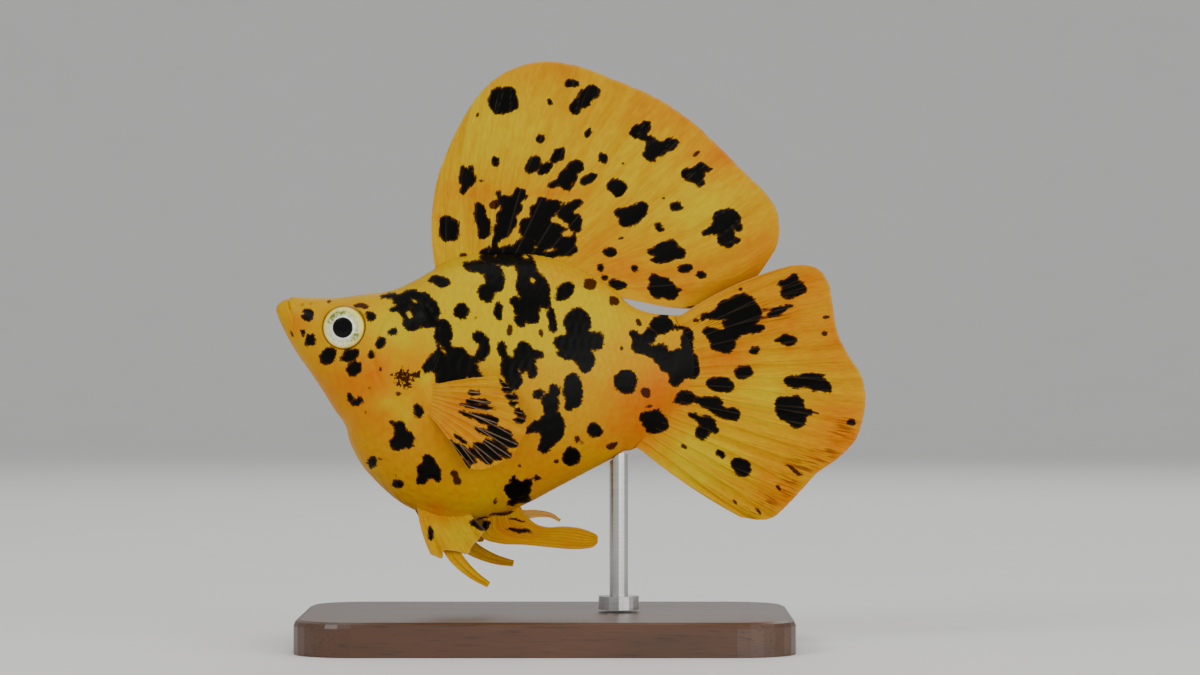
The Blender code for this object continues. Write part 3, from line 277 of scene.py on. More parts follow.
CAUDAL_BLOTCHES = (
    (61.2, 2.6, 1.35, 1.15, 0), (61.3, 3.7, 0.5, 0.45, 0), (62.3, 2.4, 0.65, 0.45, 0),
    (59.9, 3.1, 0.5, 0.3, 0), (60.4, 1.9, 0.6, 0.5, 0), (59.4, -0.2, 1.35, 0.45, 25),
    (60.7, 0.4, 0.5, 0.22, 0), (54.4, 0.3, 2.3, 1.3, 15), (55.4, 1.2, 1.3, 0.65, 0),
    (52.6, -0.5, 1.6, 0.62, 15), (56.3, -0.4, 1.15, 1.25, 0), (51.0, -0.7, 0.85, 0.24, 28),
    (54.9, -1.6, 1.9, 0.95, 0), (55.8, -2.4, 2.0, 0.55, 12), (57.3, -2.1, 0.5, 0.42, 0),
    (52.6, -3.0, 1.65, 0.85, 0), (53.6, -2.8, 1.4, 0.85, 0), (53.0, -4.0, 1.5, 1.1, 0),
    (52.3, -3.3, 1.2, 0.9, 0), (51.2, -2.6, 0.65, 0.45, 0), (60.6, -3.6, 1.1, 0.62, 0),
    (59.5, -3.6, 0.4, 0.22, 0), (56.7, -4.85, 0.55, 0.42, 0), (55.4, -7.4, 1.1, 0.76, 0),
    (52.65, -8.9, 1.6, 0.88, -8), (62.3, -8.5, 2.05, 0.8, 0), (64.2, -8.8, 1.55, 0.9, -15),
    (63.6, -7.9, 1.2, 0.4, 0), (65.1, -9.3, 0.7, 0.38, 0), (61.0, -11.8, 1.75, 1.6, 0),
    (61.6, -13.1, 1.15, 0.9, 0), (62.7, -12.2, 0.9, 0.45, 0), (59.8, -11.1, 0.75, 0.65, 0),
    (68.1, -13.4, 0.48, 0.32, 0), (47.6, -11.0, 0.6, 0.33, 15), (50.1, -10.8, 0.6, 0.4, 0),
    (51.4, -11.0, 1.45, 0.7, -5), (52.4, -11.9, 1.4, 0.7, -25), (53.9, -12.4, 1.15, 0.75, 0),
    (49.6, -12.7, 0.9, 0.38, -22), (51.0, -13.3, 1.15, 0.72, -20), (50.55, -14.5, 0.78, 0.95, -10),
    (51.7, -14.1, 0.75, 0.42, -15), (52.7, -17.1, 0.62, 0.3, -35), (55.15, -18.7, 1.3, 0.95, -40),
)
# On the anal and pelvic fins
LOWER_FIN_BLOTCHES = (
    (24.2, -25.35, 1.1, 0.5, 0), (24.6, -25.8, 0.6, 0.36, 0), (18.3, -26.6, 0.34, 0.8, 8),
    (28.8, -26.15, 1.35, 0.2, -6),
)
# Yellow holes and notches in the blotches. Three of them are painted highlights, thin yellow
# streaks through the black: (16.3, 1.1) and (14.5, 2.0) on the nape, and (19.6, -4.6) along the
# gill cover's rear edge
HOLES_AND_HIGHLIGHTS = (
    (3.05, -0.55, 0.35, 0.2, -10), (9.35, -10.05, 0.3, 0.28, 0), (15.8, -0.6, 0.42, 0.45, 0),
    # (16.3, 1.1) and (14.5, 2.0) are painted highlights on the nape
    (16.3, 1.1, 0.42, 0.2, -30), (14.5, 2.0, 0.4, 0.16, 10), (18.1, -8.1, 0.8, 0.75, 0),
    (18.5, -20.5, 0.35, 0.35, 0), (28.1, 4.1, 0.5, 1.1, -5), (30.4, 3.4, 0.3, 0.42, 0),
    (29.6, 6.2, 0.45, 0.28, 0), (27.6, 3.0, 0.45, 1.6, 0), (29.6, -7.6, 0.3, 0.6, 0),
    (45.2, -3.5, 0.36, 0.38, 0), (47.25, -3.6, 1.1, 0.42, 48), (37.3, 24.6, 0.3, 0.15, 45),
    (33.0, 10.6, 0.6, 0.36, -15), (34.5, 9.0, 0.72, 0.42, -10), (32.4, 7.0, 0.7, 0.16, 18),
    (30.8, 7.45, 0.2, 0.2, 0), (33.9, 12.5, 0.25, 0.22, 0), (25.7, 12.0, 0.4, 1.2, 12),
    (29.4, 11.8, 0.35, 1.9, -22), (28.3, 8.8, 1.4, 0.34, 69), (26.85, 7.75, 0.62, 0.4, 20),
    (27.6, 8.1, 0.6, 0.32, 30), (25.45, 8.2, 0.2, 0.9, 0), (51.9, -1.75, 1.1, 0.36, -20),
    # (19.6, -4.6) is a painted highlight along the gill cover's rear edge
    (25.9, 6.4, 0.14, 0.14, 0), (19.6, -4.6, 1.0, 0.13, -58),
)
# Brown freckles and smudges, paler than the blotches, and one painted shadow: the thin dark
# line at (26.8, -24.15) along the anal fin's base
FRECKLES_AND_SHADOW_LINE = (
    (14.55, -9.95, 0.42, 0.2, 5), (6.2, 0.9, 0.3, 0.13, 10), (9.75, 0.55, 0.55, 0.28, 0),
    (10.45, 0.35, 0.6, 0.26, -12), (1.85, -2.9, 0.13, 0.36, 15), (12.35, -7.1, 0.16, 0.3, -40),
    (10.7, -12.2, 0.14, 0.12, 0), (21.3, -19.9, 0.3, 0.55, -15), (11.0, -9.35, 0.12, 0.2, 0),
    (23.7, -1.05, 0.15, 0.2, 0), (12.25, -17.75, 0.22, 0.26, 0), (14.3, -19.6, 0.14, 0.22, 0),
    (21.0, -19.45, 0.45, 0.38, 0), (21.55, -20.35, 0.42, 0.38, 0), (28.8, -18.5, 0.24, 0.24, 0),
    (33.2, -18.05, 0.33, 0.3, 0), (35.6, -15.3, 0.28, 0.5, 0), (36.2, -15.85, 0.2, 0.2, 0),
    (39.8, -16.1, 0.72, 0.36, 25), (29.0, -12.6, 0.6, 0.7, 0), (41.05, -4.65, 0.25, 0.25, 0),
    (43.0, -1.5, 0.36, 0.46, 30), (43.85, -9.85, 0.62, 0.55, 0), (44.2, -11.4, 0.3, 0.16, 0),
    (23.95, 23.1, 0.22, 0.28, 0), (22.15, 6.4, 0.44, 0.24, 0), (41.1, 17.3, 0.18, 0.18, 0),
    (40.8, 8.5, 0.28, 0.2, 30), (45.95, 13.25, 0.18, 0.16, 0), (44.8, 17.75, 0.28, 0.2, 0),
    (49.85, 18.6, 0.46, 0.24, 40), (26.0, 12.5, 0.7, 0.55, 20), (49.7, -1.3, 0.36, 0.26, 20),
    (57.7, 0.1, 0.5, 0.1, 5), (57.8, -0.9, 0.5, 0.13, 5), (65.2, -0.9, 0.46, 0.28, 0),
    (65.0, -2.9, 0.4, 0.26, 0), (63.9, -12.3, 0.42, 0.14, -8), (48.3, -16.25, 0.35, 0.32, 0),
    (61.4, -19.0, 1.2, 0.22, -33), (57.2, -23.9, 0.45, 0.18, -48), (54.4, -22.9, 0.36, 0.16, -45),
    # (26.8, -24.15) is a painted shadow: a thin dark line along the anal fin's base
    (59.5, -21.2, 0.42, 0.22, -50), (49.1, 0.4, 0.4, 0.12, 10), (26.8, -24.15, 1.5, 0.2, 8),
    (28.5, -24.9, 0.9, 0.13, -10), (24.3, 15.3, 0.3, 0.12, 0), (55.0, 2.35, 0.22, 0.2, 0),
    (37.25, 2.95, 0.85, 0.6, 20), (37.0, 3.3, 0.5, 0.4, 0), (40.03, 1.07, 0.72, 0.55, -40),
    (27.67, -2.5, 0.32, 0.72, 0), (31.4, -2.75, 0.24, 0.5, 0),
)
# Dark streaks on the pectoral fins' membrane, between the rays, and blotches near their margin
PECTORAL_BLOTCHES = (
    (23.44, -9.8, 0.75, 0.24, 3), (23.98, -10.88, 1.4, 0.33, -3), (23.77, -11.48, 1.9, 0.28, -5),
    (24.9, -13.0, 1.4, 0.56, -12), (23.4, -12.6, 1.7, 0.26, -16), (26.57, -14.5, 1.5, 0.6, -22),
    (27.14, -15.5, 1.6, 0.7, -20), (25.4, -14.8, 2.1, 0.38, -24), (26.28, -16.5, 1.9, 0.56, -30),
    (24.99, -16.8, 1.8, 0.62, -32), (24.2, -17.3, 1.7, 0.38, -34), (22.4, -17.08, 1.7, 0.58, -42),
    (21.2, -16.1, 0.9, 0.26, -45), (22.4, -18.23, 0.8, 0.3, -42), (21.83, -15.36, 0.8, 0.22, -40),
    (27.5, -9.5, 0.75, 0.36, 0), (27.9, -10.3, 0.8, 0.32, 0), (28.2, -11.1, 0.5, 0.32, 0),
    (28.9, -12.2, 0.65, 0.46, 0), (28.9, -13.1, 0.65, 0.3, 0), (27.5, -8.2, 0.9, 1.25, 0),
)
# Where fine brown streaks follow the tail fin's rays: behind, above, half length, half height
STREAKED = (
    (67.2, -14.2, 1.6, 1.5), (65.0, -17.2, 1.8, 1.2), (62.6, -18.3, 1.8, 1.3), (60.6, -20.9, 1.3, 1.4),
    (58.3, -22.8, 1.1, 1.1), (56.3, -23.9, 1.2, 0.7), (51.6, -1.2, 2.2, 1.0), (58.5, -0.4, 2.4, 1.2),
)
# A patch of maroon speckles on the gill covers
SPECKLED_PATCH = ((15.1, -8.0, 1.2, 0.68, 0), (16.3, -7.75, 0.85, 0.3, 14), (15.5, -8.6, 0.6, 0.5, 0))
# Where the yellow turns to orange: behind, above, half length, half height, amount (minus is yellower)
WARM_AREAS = (
    (2.6, -1.6, 1.5, 1.6, 0.3), (5.0, -9.0, 3.5, 3.5, 0.22), (10.5, -8.0, 3.8, 4.0, 0.34),
    (12.0, -6.8, 1.5, 2.2, 0.2), (10.5, -13.0, 4.5, 3.0, 0.15), (13.5, -16.0, 5.0, 5.0, 0.15),
    (16.0, -6.0, 2.6, 2.2, 0.2), (18.0, -20.5, 4.5, 3.0, 0.12), (19.0, -23.3, 1.3, 0.9, 0.3),
    (43.5, -12.0, 4.5, 4.5, 0.45), (41.0, -15.0, 4.0, 3.0, 0.2), (46.5, -9.5, 3.0, 3.4, 0.25),
    (13.0, -11.0, 1.6, 0.9, -0.3), (15.2, -12.6, 1.4, 1.8, -0.25), (24.0, 1.0, 7.0, 6.0, -0.45),
    (14.0, -2.0, 3.0, 3.0, -0.35), (37.0, 0.0, 4.0, 4.0, -0.45), (30.0, -2.0, 6.0, 4.0, -0.4),
    (23.0, -22.0, 4.5, 3.0, -0.08), (32.0, -18.0, 6.0, 5.0, 0.15), (25.0, -14.0, 6.0, 5.0, 0.15),
    (21.0, -11.5, 3.2, 3.6, 0.22), (17.6, -8.1, 1.0, 0.9, -0.55), (53.0, -6.2, 4.0, 1.8, 0.45),
    (60.0, -1.5, 6.0, 3.5, 0.25), (63.5, 3.5, 2.5, 3.0, 0.3), (66.5, -4.0, 2.0, 5.0, 0.25),
    (67.5, -15.0, 4.0, 5.0, 0.4), (60.0, -22.0, 3.5, 3.5, 0.35), (58.0, -9.5, 3.5, 4.5, -0.45),
    (50.0, -17.5, 4.0, 3.0, -0.6), (66.0, -9.0, 2.5, 1.6, -0.3), (45.0, 3.5, 10.0, 2.6, 0.3),
    (57.5, 7.5, 3.0, 4.0, 0.35), (32.0, 28.8, 8.0, 1.8, 0.2), (47.0, 23.5, 6.0, 2.6, 0.35),
    (52.5, 18.5, 4.0, 2.6, 0.45), (26.0, 20.5, 6.0, 5.0, -0.35), (42.0, 18.0, 7.0, 5.0, -0.2),
    (51.0, 12.0, 6.0, 3.0, -0.35), (23.5, 13.8, 4.0, 1.4, 0.2), (33.5, 13.9, 4.0, 0.8, 0.35),
    (39.0, 6.0, 4.0, 2.5, 0.22), (24.0, -13.0, 5.5, 5.0, 0.12), (28.0, -19.5, 7.0, 3.0, 0.05),
    (57.0, -3.0, 9.0, 7.0, 0.12), (62.0, -14.0, 8.0, 8.0, 0.12), (35.0, -27.0, 4.0, 2.0, 0.2),
    (27.5, -26.0, 3.0, 1.6, 0.3), (21.5, -26.4, 2.4, 1.8, -0.35), (19.5, -24.3, 3.0, 0.9, 0.2),
)

# The paper sweep, in metres: how far it reaches to the front and the sides, where its curve starts
# behind the model, the curve's radius and the height of its top edge
SWEEP_FRONT, SWEEP_SIDE, SWEEP_FLAT, SWEEP_RADIUS, SWEEP_HIGH = 3.0, 3.0, 0.8, 0.8, 2.6
# Pigments are set deep and the lamps strong, because the picture's tones pale a bright yellow
SKIN_YELLOW, SKIN_ORANGE = "C8AB00", "CE5E00"
FIN_YELLOW, FIN_ORANGE = "CCB000", "CE6C00"


def linear(code):
    """A colour written as an sRGB hex value, such as "F2A900", as linear red, green, blue and 1."""
    parts = [int(code[i:i + 2], 16) / 255 for i in (0, 2, 4)]
    return tuple(c / 12.92 if c <= 0.04045 else ((c + 0.055) / 1.055) ** 2.4 for c in parts) + (1.0,)


def smooth(low, high, x):
    """0 below low, 1 above high, and 3s^2 - 2s^3 between them."""
    s = np.clip((x - low) / (high - low), 0.0, 1.0)
    return s * s * (3 - 2 * s)


def bump(x, width):
    """A bell of height 1: exp(-(x / width)^2)."""
    return np.exp(-(x / width) ** 2)


def spline(knots, t):
    """Points at t, 0 to 1 in knot number, on the Catmull-Rom curve through the knots."""
    knots = np.asarray(knots, float)
    ends = np.vstack([2 * knots[0] - knots[1], knots, 2 * knots[-1] - knots[-2]])
    at = np.clip(np.asarray(t, float), 0.0, 1.0) * (len(knots) - 1)
    i = np.minimum(at.astype(int), len(knots) - 2)
    f = (at - i)[..., None]
    a, b, c, d = ends[i], ends[i + 1], ends[i + 2], ends[i + 3]
    return b + 0.5 * f * (c - a + f * (2 * a - 5 * b + 4 * c - d + f * (3 * (b - c) + d - a)))


def even(knots, t):
    """As spline, with t counted along the curve's own length."""
    fine = np.linspace(0.0, 1.0, 40 * len(knots))
    points = spline(knots, fine)
    run = np.concatenate([[0.0], np.cumsum(np.linalg.norm(np.diff(points, axis=0), axis=1))])
    return spline(knots, np.interp(np.asarray(t, float) * run[-1], run, fine))


def off_line(behind, above, knots, count=48):
    """Distance from the curve through the knots, minus on its right as it runs, and the share of
    the curve, 0 to 1, that lies nearest: the least distance to each of its short straights."""
    line = even(knots, np.linspace(0.0, 1.0, count))
    best = np.full(np.shape(behind), np.inf)
    side = np.zeros(np.shape(behind))
    share = np.zeros(np.shape(behind))
    for i in range(count - 1):
        (bx, ax), (dx, dz) = line[i], line[i + 1] - line[i]
        px, pz = behind - bx, above - ax
        f = np.clip((px * dx + pz * dz) / (dx * dx + dz * dz), 0.0, 1.0)
        gap = np.hypot(px - f * dx, pz - f * dz)
        nearer = gap < best
        best = np.where(nearer, gap, best)
        side = np.where(nearer, np.sign(dx * pz - dz * px), side)
        share = np.where(nearer, (i + f) / (count - 1), share)
    return best * side, share


def depth_in(behind, above, ellipses, blend=0.22):
    """How deep a point lies inside a union of ellipses, minus outside. With k the point's distance
    from an ellipse's centre in radii, its depth there is (1 - k) over the slope of k, and two
    depths join by a rounded maximum over blend."""
    total = np.full(np.shape(behind), FAR_OUTSIDE)
    for b, a, long, high, tilt in ellipses:
        c, s = math.cos(math.radians(tilt)), math.sin(math.radians(tilt))
        x = ((behind - b) * c + (above - a) * s) / long
        z = ((above - a) * c - (behind - b) * s) / high
        k = np.hypot(x, z) + 1e-6
        depth = (1 - k) * k / (np.hypot(x / long, z / high) + 1e-6)
        near = np.clip(1 - np.abs(total - depth) / blend, 0.0, 1.0)
        total = np.maximum(total, depth) + near ** 2 * blend / 4
    return total


def ribbed(t):
    """The body's section at t: points on the back and belly, half width, the widest level and the
    upper and lower powers of its outline."""
    rib = spline(RIBS, t)
    number = np.clip(t, 0.0, 1.0) * (len(RIBS) - 1)
    level = np.interp(number, SECTION_RIBS, WIDEST_LEVEL)
    above = np.interp(number, SECTION_RIBS, SQUARE_ABOVE)
    below = np.interp(number, SECTION_RIBS, SQUARE_BELOW)
    return rib[..., 0:2], rib[..., 2:4], rib[..., 4], level, above, below


def body_surface(t, angle):
    """(behind, across, above) on the body. Its section is two half superellipses that meet at the
    widest level: |along|^n + |across|^n = 1, where cos and sin of the angle to 2/n give them."""
    back, belly, half_width, level, above, below = ribbed(t)
    cosine, sine = np.cos(angle), np.sin(angle)
    power = 2.0 / np.where(cosine >= 0, above, below)
    reach = np.where(cosine >= 0, 1.0 - level, 1.0 + level)
    along = level + reach * np.sign(cosine) * np.abs(cosine) ** power
    across = np.sign(sine) * np.abs(sine) ** power * half_width
    flat = (back + belly) / 2 + (back - belly) / 2 * along[..., None]
    return np.stack([flat[..., 0], across, flat[..., 1]], axis=-1)


def drawn_to_tail(behind, above):
    """Draws the body's rear part together lengthwise, so that its last rib lies along the tail
    fin's curved root: from TAIL_FROM on, lengths shrink to reach the root's line at that height."""
    line = even(CAUDAL_BASE, np.linspace(0.0, 1.0, 60))
    root = np.interp(-above, -line[:, 1], line[:, 0]) + TAIL_OVERLAP
    share = (root - TAIL_FROM) / (RIBS[-1][0] - TAIL_FROM)
    return np.where(behind > TAIL_FROM, TAIL_FROM + (behind - TAIL_FROM) * share, behind)


def half_width(behind, above):
    """The body's half width at a point of its side view: the rib through the point is found where
    the point changes side of the ribs' lines, and the section's outline there is solved."""
    t = np.linspace(0.0, 1.0, 500)
    back, belly = ribbed(t)[:2]
    run = back - belly
    x, z = np.ravel(behind)[:, None] - belly[:, 0], np.ravel(above)[:, None] - belly[:, 1]
    turn = x * run[:, 1] - z * run[:, 0]
    i = np.clip(np.argmax(turn < 0, axis=1), 1, len(t) - 1)
    row = np.arange(len(i))
    before, after = turn[row, i - 1], turn[row, i]
    at = t[i - 1] + (t[i] - t[i - 1]) * before / np.maximum(before - after, 1e-9)
    back, belly, width, level, upper, lower = ribbed(at)
    middle, half = (back + belly) / 2, (back - belly) / 2
    point = np.stack([np.ravel(behind), np.ravel(above)], axis=-1)
    along = ((point - middle) * half).sum(axis=1) / (half ** 2).sum(axis=1)
    high = along >= level
    reach = np.where(high, 1.0 - level, 1.0 + level)
    power = np.where(high, upper, lower)
    q = np.clip(np.abs(along - level) / reach, 0.0, 1.0)
    return (width * (1 - q ** power) ** (1 / power)).reshape(np.shape(behind))


def as_seen(points):
    """(behind, above) where the photo shows a point: what lies nearer than the middle plane is
    spread from the point that the camera faces by far / (far - nearness). The fish's two sides
    are read alike."""
    nearer = CAMERA_FAR / (CAMERA_FAR - np.abs(points[..., 1]))
    behind = SEEN_BEHIND + (points[..., 0] - SEEN_BEHIND) * nearer
    return behind, SEEN_ABOVE + (points[..., 2] - SEEN_ABOVE) * nearer


def wander(behind, above, reach):
    """Small smooth shifts of a place, as two sums of sines, so that no blotch is a true ellipse."""
    one = np.sin(3.1 * above + 1.3 * behind) + 0.6 * np.sin(5.3 * behind - 2.2 * above + 1.0)
    two = np.sin(2.7 * behind - 1.1 * above + 2.0) + 0.6 * np.sin(4.9 * above + 1.9 * behind)
    return behind + reach * one, above + reach * two


def warmth(behind, above):
    """From 0, yellow, to 1, orange: a middle value plus each warm area's bell."""
    total = np.full(np.shape(behind), 0.33)
    for b, a, long, high, amount in WARM_AREAS:
        total += amount * np.exp(-((behind - b) / long) ** 2 - ((above - a) / high) ** 2)
    return np.clip(total, 0.0, 1.0)


def near_streaks(behind, above):
    """How strongly the fine brown streaks show, 0 to 1: the highest of their areas' bells."""
    most = np.zeros(np.shape(behind))
    for b, a, long, high in STREAKED:
        most = np.maximum(most, np.exp(-((behind - b) / long) ** 2 - ((above - a) / high) ** 2))
    return most


def markings(points, blotches, two_sides):
    """The attributes that colour a surface: depth inside the black blotches, less the yellow holes
    and the painted highlights, depth inside the brown freckles and one painted shadow line, depth
    inside the speckled patch, and warmth. Where the surface has two sides, every place on the
    right one is shifted by up to 3.4 mm, and not at all at the middle plane and the tail, so that
    the sides don't match."""
    behind, above = as_seen(points)
    right = smooth(0.0, 4.0, points[..., 1]) * (1 - smooth(40.0, 47.0, behind)) * two_sides
    behind = behind + right * (1.7 + 0.8 * np.sin(0.13 * above + 0.8))
    above = above + right * (-1.3 + 1.0 * np.sin(0.12 * behind + 2.1))
    b, a = wander(behind, above, 0.07)
    return {
        # The black less the holes, three of which are painted highlights
        "black": np.minimum(depth_in(b, a, blotches), -depth_in(b, a, HOLES_AND_HIGHLIGHTS)),
        # Freckles, and the painted shadow line along the anal fin's base
        "freckle": depth_in(b, a, FRECKLES_AND_SHADOW_LINE),
        "speckled": depth_in(b, a, SPECKLED_PATCH),
        "warm": warmth(behind, above),
    }


def to_world(points):
    """Metres in the frame from (behind, across, above) in millimetres."""
    return (points + np.array([-TOTAL_LENGTH / 2, 0.0, SNOUT_HEIGHT])) * MM


def volume_of(points, faces):
    """The signed volume inside quads: each is two triangles of the corners' triple product / 6."""
    a, b, c, d = (points[faces[:, i]] for i in range(4))
    return float((a * (np.cross(b, c) + np.cross(c, d))).sum()) / 6


def surface_object(name, points, quads, triangles, look, values, bake_map, other_maps=()):
    """A mesh object from arrays in millimetres. values are numbers at the vertices, by name, and
    each map is a name with a coordinate pair at every corner, quads first."""
    if volume_of(points, quads) < 0:
        quads, triangles = quads[:, ::-1], triangles[:, ::-1]
        turned = np.concatenate([
            np.arange(quads.size).reshape(quads.shape)[:, ::-1].ravel(),
            quads.size + np.arange(triangles.size).reshape(triangles.shape)[:, ::-1].ravel(),
        ])
    else:
        turned = np.arange(quads.size + triangles.size)
    mesh = bpy.data.meshes.new(name)
    mesh.from_pydata(to_world(points).tolist(), [], quads.tolist() + triangles.tolist())
    for key, numbers in values.items():
        layer = mesh.attributes.new(key, "FLOAT", "POINT")
        layer.data.foreach_set("value", np.ravel(numbers).astype(np.float32))
    for key, pairs in (("OFBake", bake_map), *other_maps):
        layer = mesh.uv_layers.new(name=key)
        layer.data.foreach_set("uv", np.ravel(pairs[turned]).astype(np.float32))
    mesh.shade_smooth()
    mesh.materials.append(look)
    made = bpy.data.objects.new(name, mesh)
    bpy.context.scene.collection.objects.link(made)
    return made


def normals_of(points, wrap=False):
    """Unit normals of a grid of points: the cross product of its two directions of change."""
    along = np.gradient(points, axis=0)
    if wrap:
        round_ = (np.roll(points, -1, axis=1) - np.roll(points, 1, axis=1)) / 2
    else:
        round_ = np.gradient(points, axis=1)
    normal = np.cross(along, round_)
    return normal / np.maximum(np.linalg.norm(normal, axis=-1, keepdims=True), 1e-12)


def ring_quads(rows, sides, start=0):
    """Quads between rings of points that close on themselves, from point number start on: row i
    and place j have the corners (i, j), (i, j + 1), (i + 1, j + 1) and (i + 1, j)."""
    here = np.arange(sides)
    there = (here + 1) % sides
    corner = start + np.arange(rows - 1)[:, None] * sides
    corners = [corner + here, corner + there, corner + sides + there, corner + sides + here]
    return np.stack(corners, axis=-1).reshape(-1, 4)


def eye_frame(side):
    """The eye's centre on the skin, and its unit directions: along the head, outwards and up."""
    width = float(half_width(np.array([EYE_AT[0]]), np.array([EYE_AT[1]]))[0])
    centre = np.array([EYE_AT[0], side * width, EYE_AT[1]])
    c, s = math.cos(EYE_TURN), math.sin(EYE_TURN)
    along, out = np.array([c, side * s, 0.0]), np.array([-s, side * c, 0.0])
    return centre, along, out, np.array([0.0, 0.0, 1.0])


def scale_relief(t, angle, reach):
    """Overlapping scales as roof tiles. Rows run along the body, each a scale high, and every
    second one is half a scale back. In row j a scale's free edge is the arc p = i + R sqrt(1 -
    (q - j)^2), the scale on top is the one whose edge comes first, and a scale rises evenly to
    its free edge. Gives that rise, 0 to 1, and how near the edge is."""
    fine = np.linspace(0.0, 1.0, 2000)
    middle = body_surface(fine, np.full_like(fine, math.pi / 2))
    step = np.concatenate([[0.0], np.linalg.norm(np.diff(middle, axis=0), axis=1)])
    pitch = SCALE_LENGTH * np.interp(fine, SCALE_SHARES_AT, SCALE_SHARES)
    p = np.interp(t, fine, np.cumsum(step / pitch))
    q = np.minimum(angle, 2 * math.pi - angle) / math.pi * SCALE_ROWS
    least = np.full(np.shape(p), np.inf)
    for j in (np.floor(q), np.floor(q) + 1):
        edge = p - 0.5 * np.mod(j, 2) - SCALE_BULGE * np.sqrt(np.clip(1 - (q - j) ** 2, 0.0, 1.0))
        least = np.minimum(least, np.ceil(edge) - edge)
    size = np.interp(t, SCALE_SHARES_AT, SCALE_SHARES)
    return (1 - least) * reach * size, bump(least, SCALE_EDGE) * reach


def head_relief(behind, across, above):
    """Raised and sunk forms of the head, in millimetres out from the body: the gill cover's rear
    edge with the groove behind it, the groove before the cover, the lips with the mouth's cleft
    between them, the lower jaw's lower top, the fold of the jaw and the nostrils' pits. The cover
    rises to its edge as an exponential, and the others are bells of the distance from their
    lines, faded at the lines' ends. A bell's second number is its half width in millimetres."""
    gill, share = off_line(behind, above, GILL_EDGE)
    opening = smooth(0.16, 0.26, share) * smooth(0.0, 1.2, np.abs(across))
    opening = opening * (1 - 0.92 * smooth(0.36, 0.66, share))
    lifted = GILL_LIFT * np.exp(-np.maximum(-gill, 0.0) / GILL_SLOPE) * smooth(-0.07, 0.07, -gill)
    relief = opening * (lifted - GILL_GROOVE * bump(gill - 0.16, 0.18))
    cheek, cheek_share = off_line(behind, above, COVER_FRONT)
    cheek_fade = bump(cheek_share - 0.5, 0.45) * smooth(1.0, 2.0, np.abs(across))
    relief -= CHEEK_GROOVE * bump(cheek, 0.24) * cheek_fade
    fold, fold_share = off_line(behind, above, JAW_FOLD)
    relief -= FOLD_DEEP * bump(fold, 0.14) * (1 - smooth(0.7, 1.0, fold_share))
    mouth, mouth_share = off_line(behind, above, MOUTH)
    near = 1 - smooth(0.86, 1.0, mouth_share)
    swell = LIP_SWELL * (1 - smooth(0.3, 1.1, above))
    relief += near * (swell * bump(np.abs(mouth) - 0.3, 0.2) - CLEFT_DEEP * bump(mouth, CLEFT_WIDE))
    lower_lip = smooth(0.05, -0.05, mouth) * bump(mouth, 0.7) * smooth(0.2, 1.0, above)
    relief -= near * JAW_DROP * lower_lip
    for b, a in NOSTRILS:
        r = np.hypot(behind - b, above - a)
        relief += NOSTRIL_RIM * bump(r - 0.3, 0.1) - NOSTRIL_PIT * bump(r, 0.17)
    return relief, gill


def sink_eyes(points):
    """Presses the skin in under each eye and folds it up round the eye's rim. With r the distance
    from the eye's axis, the skin inside EYE_RADIUS drops to a floor behind the eye."""
    for side in (-1, 1):
        centre, along, out, up = eye_frame(side)
        offset = points - centre
        r = np.hypot(offset @ along, offset @ up)
        depth = offset @ out
        here = (np.sign(points[..., 1]) == side) & (r < EYE_NEAR)
        inside = 1 - smooth(EYE_RADIUS - 0.18, EYE_RADIUS + 0.03, r)
        fold = LID_HIGH * bump(r - EYE_RADIUS - 0.22, 0.2)
        moved = inside * (-SOCKET_DEEP - depth) + (1 - inside) * fold
        points = points + np.where(here, moved, 0.0)[..., None] * out
    return points


def root_swellings(behind, across, above):
    """How far the skin swells at the fins' roots: a ridge along the back, a mound on each flank
    and a mound each side of the belly's middle, all bells."""
    dorsal = smooth(17.8, 20.5, behind) * (1 - smooth(38.5, 42.0, behind))
    dorsal = DORSAL_SWELL * dorsal * smooth(-0.2, 1.2, above) * bump(across, 1.0)
    b, a = PECTORAL_AT
    pectoral = np.exp(-((behind - b) / 0.9) ** 2 - ((above - a) / 1.9) ** 2)
    below = smooth(-19.5, -21.5, above) * bump(behind - PELVIC_HINGE[0], 2.8)
    pelvic = below * bump(np.abs(across) - PELVIC_HALF_SPREAD, 0.9)
    return dorsal + PECTORAL_SWELL * pectoral + PELVIC_SWELL * pelvic


def unrolled(rows, sides, strip=0.01):
    """The map of a loft that a point closes at each end, at the corners of its quads and then of
    its end triangles: one turn is the map's width, and a thin strip at each end is kept for the
    triangles."""
    turn = np.arange(sides) / sides
    next_turn = turn + 1 / sides
    down = (np.arange(rows) / rows * (1 - 2 * strip) + strip)[:, None]
    low, high, left, right = np.broadcast_arrays(down[:-1], down[1:], turn, next_turn)
    sheet = np.stack([left, low, right, low, right, high, left, high], axis=-1)
    top, bottom = np.zeros(sides), np.ones(sides)
    first = np.stack([turn, top, next_turn, top + strip, turn, top + strip], axis=-1)
    last = np.stack([turn, bottom, turn, bottom - strip, next_turn, bottom - strip], axis=-1)
    return np.concatenate([sheet.reshape(-1, 2), first.reshape(-1, 2), last.reshape(-1, 2)])


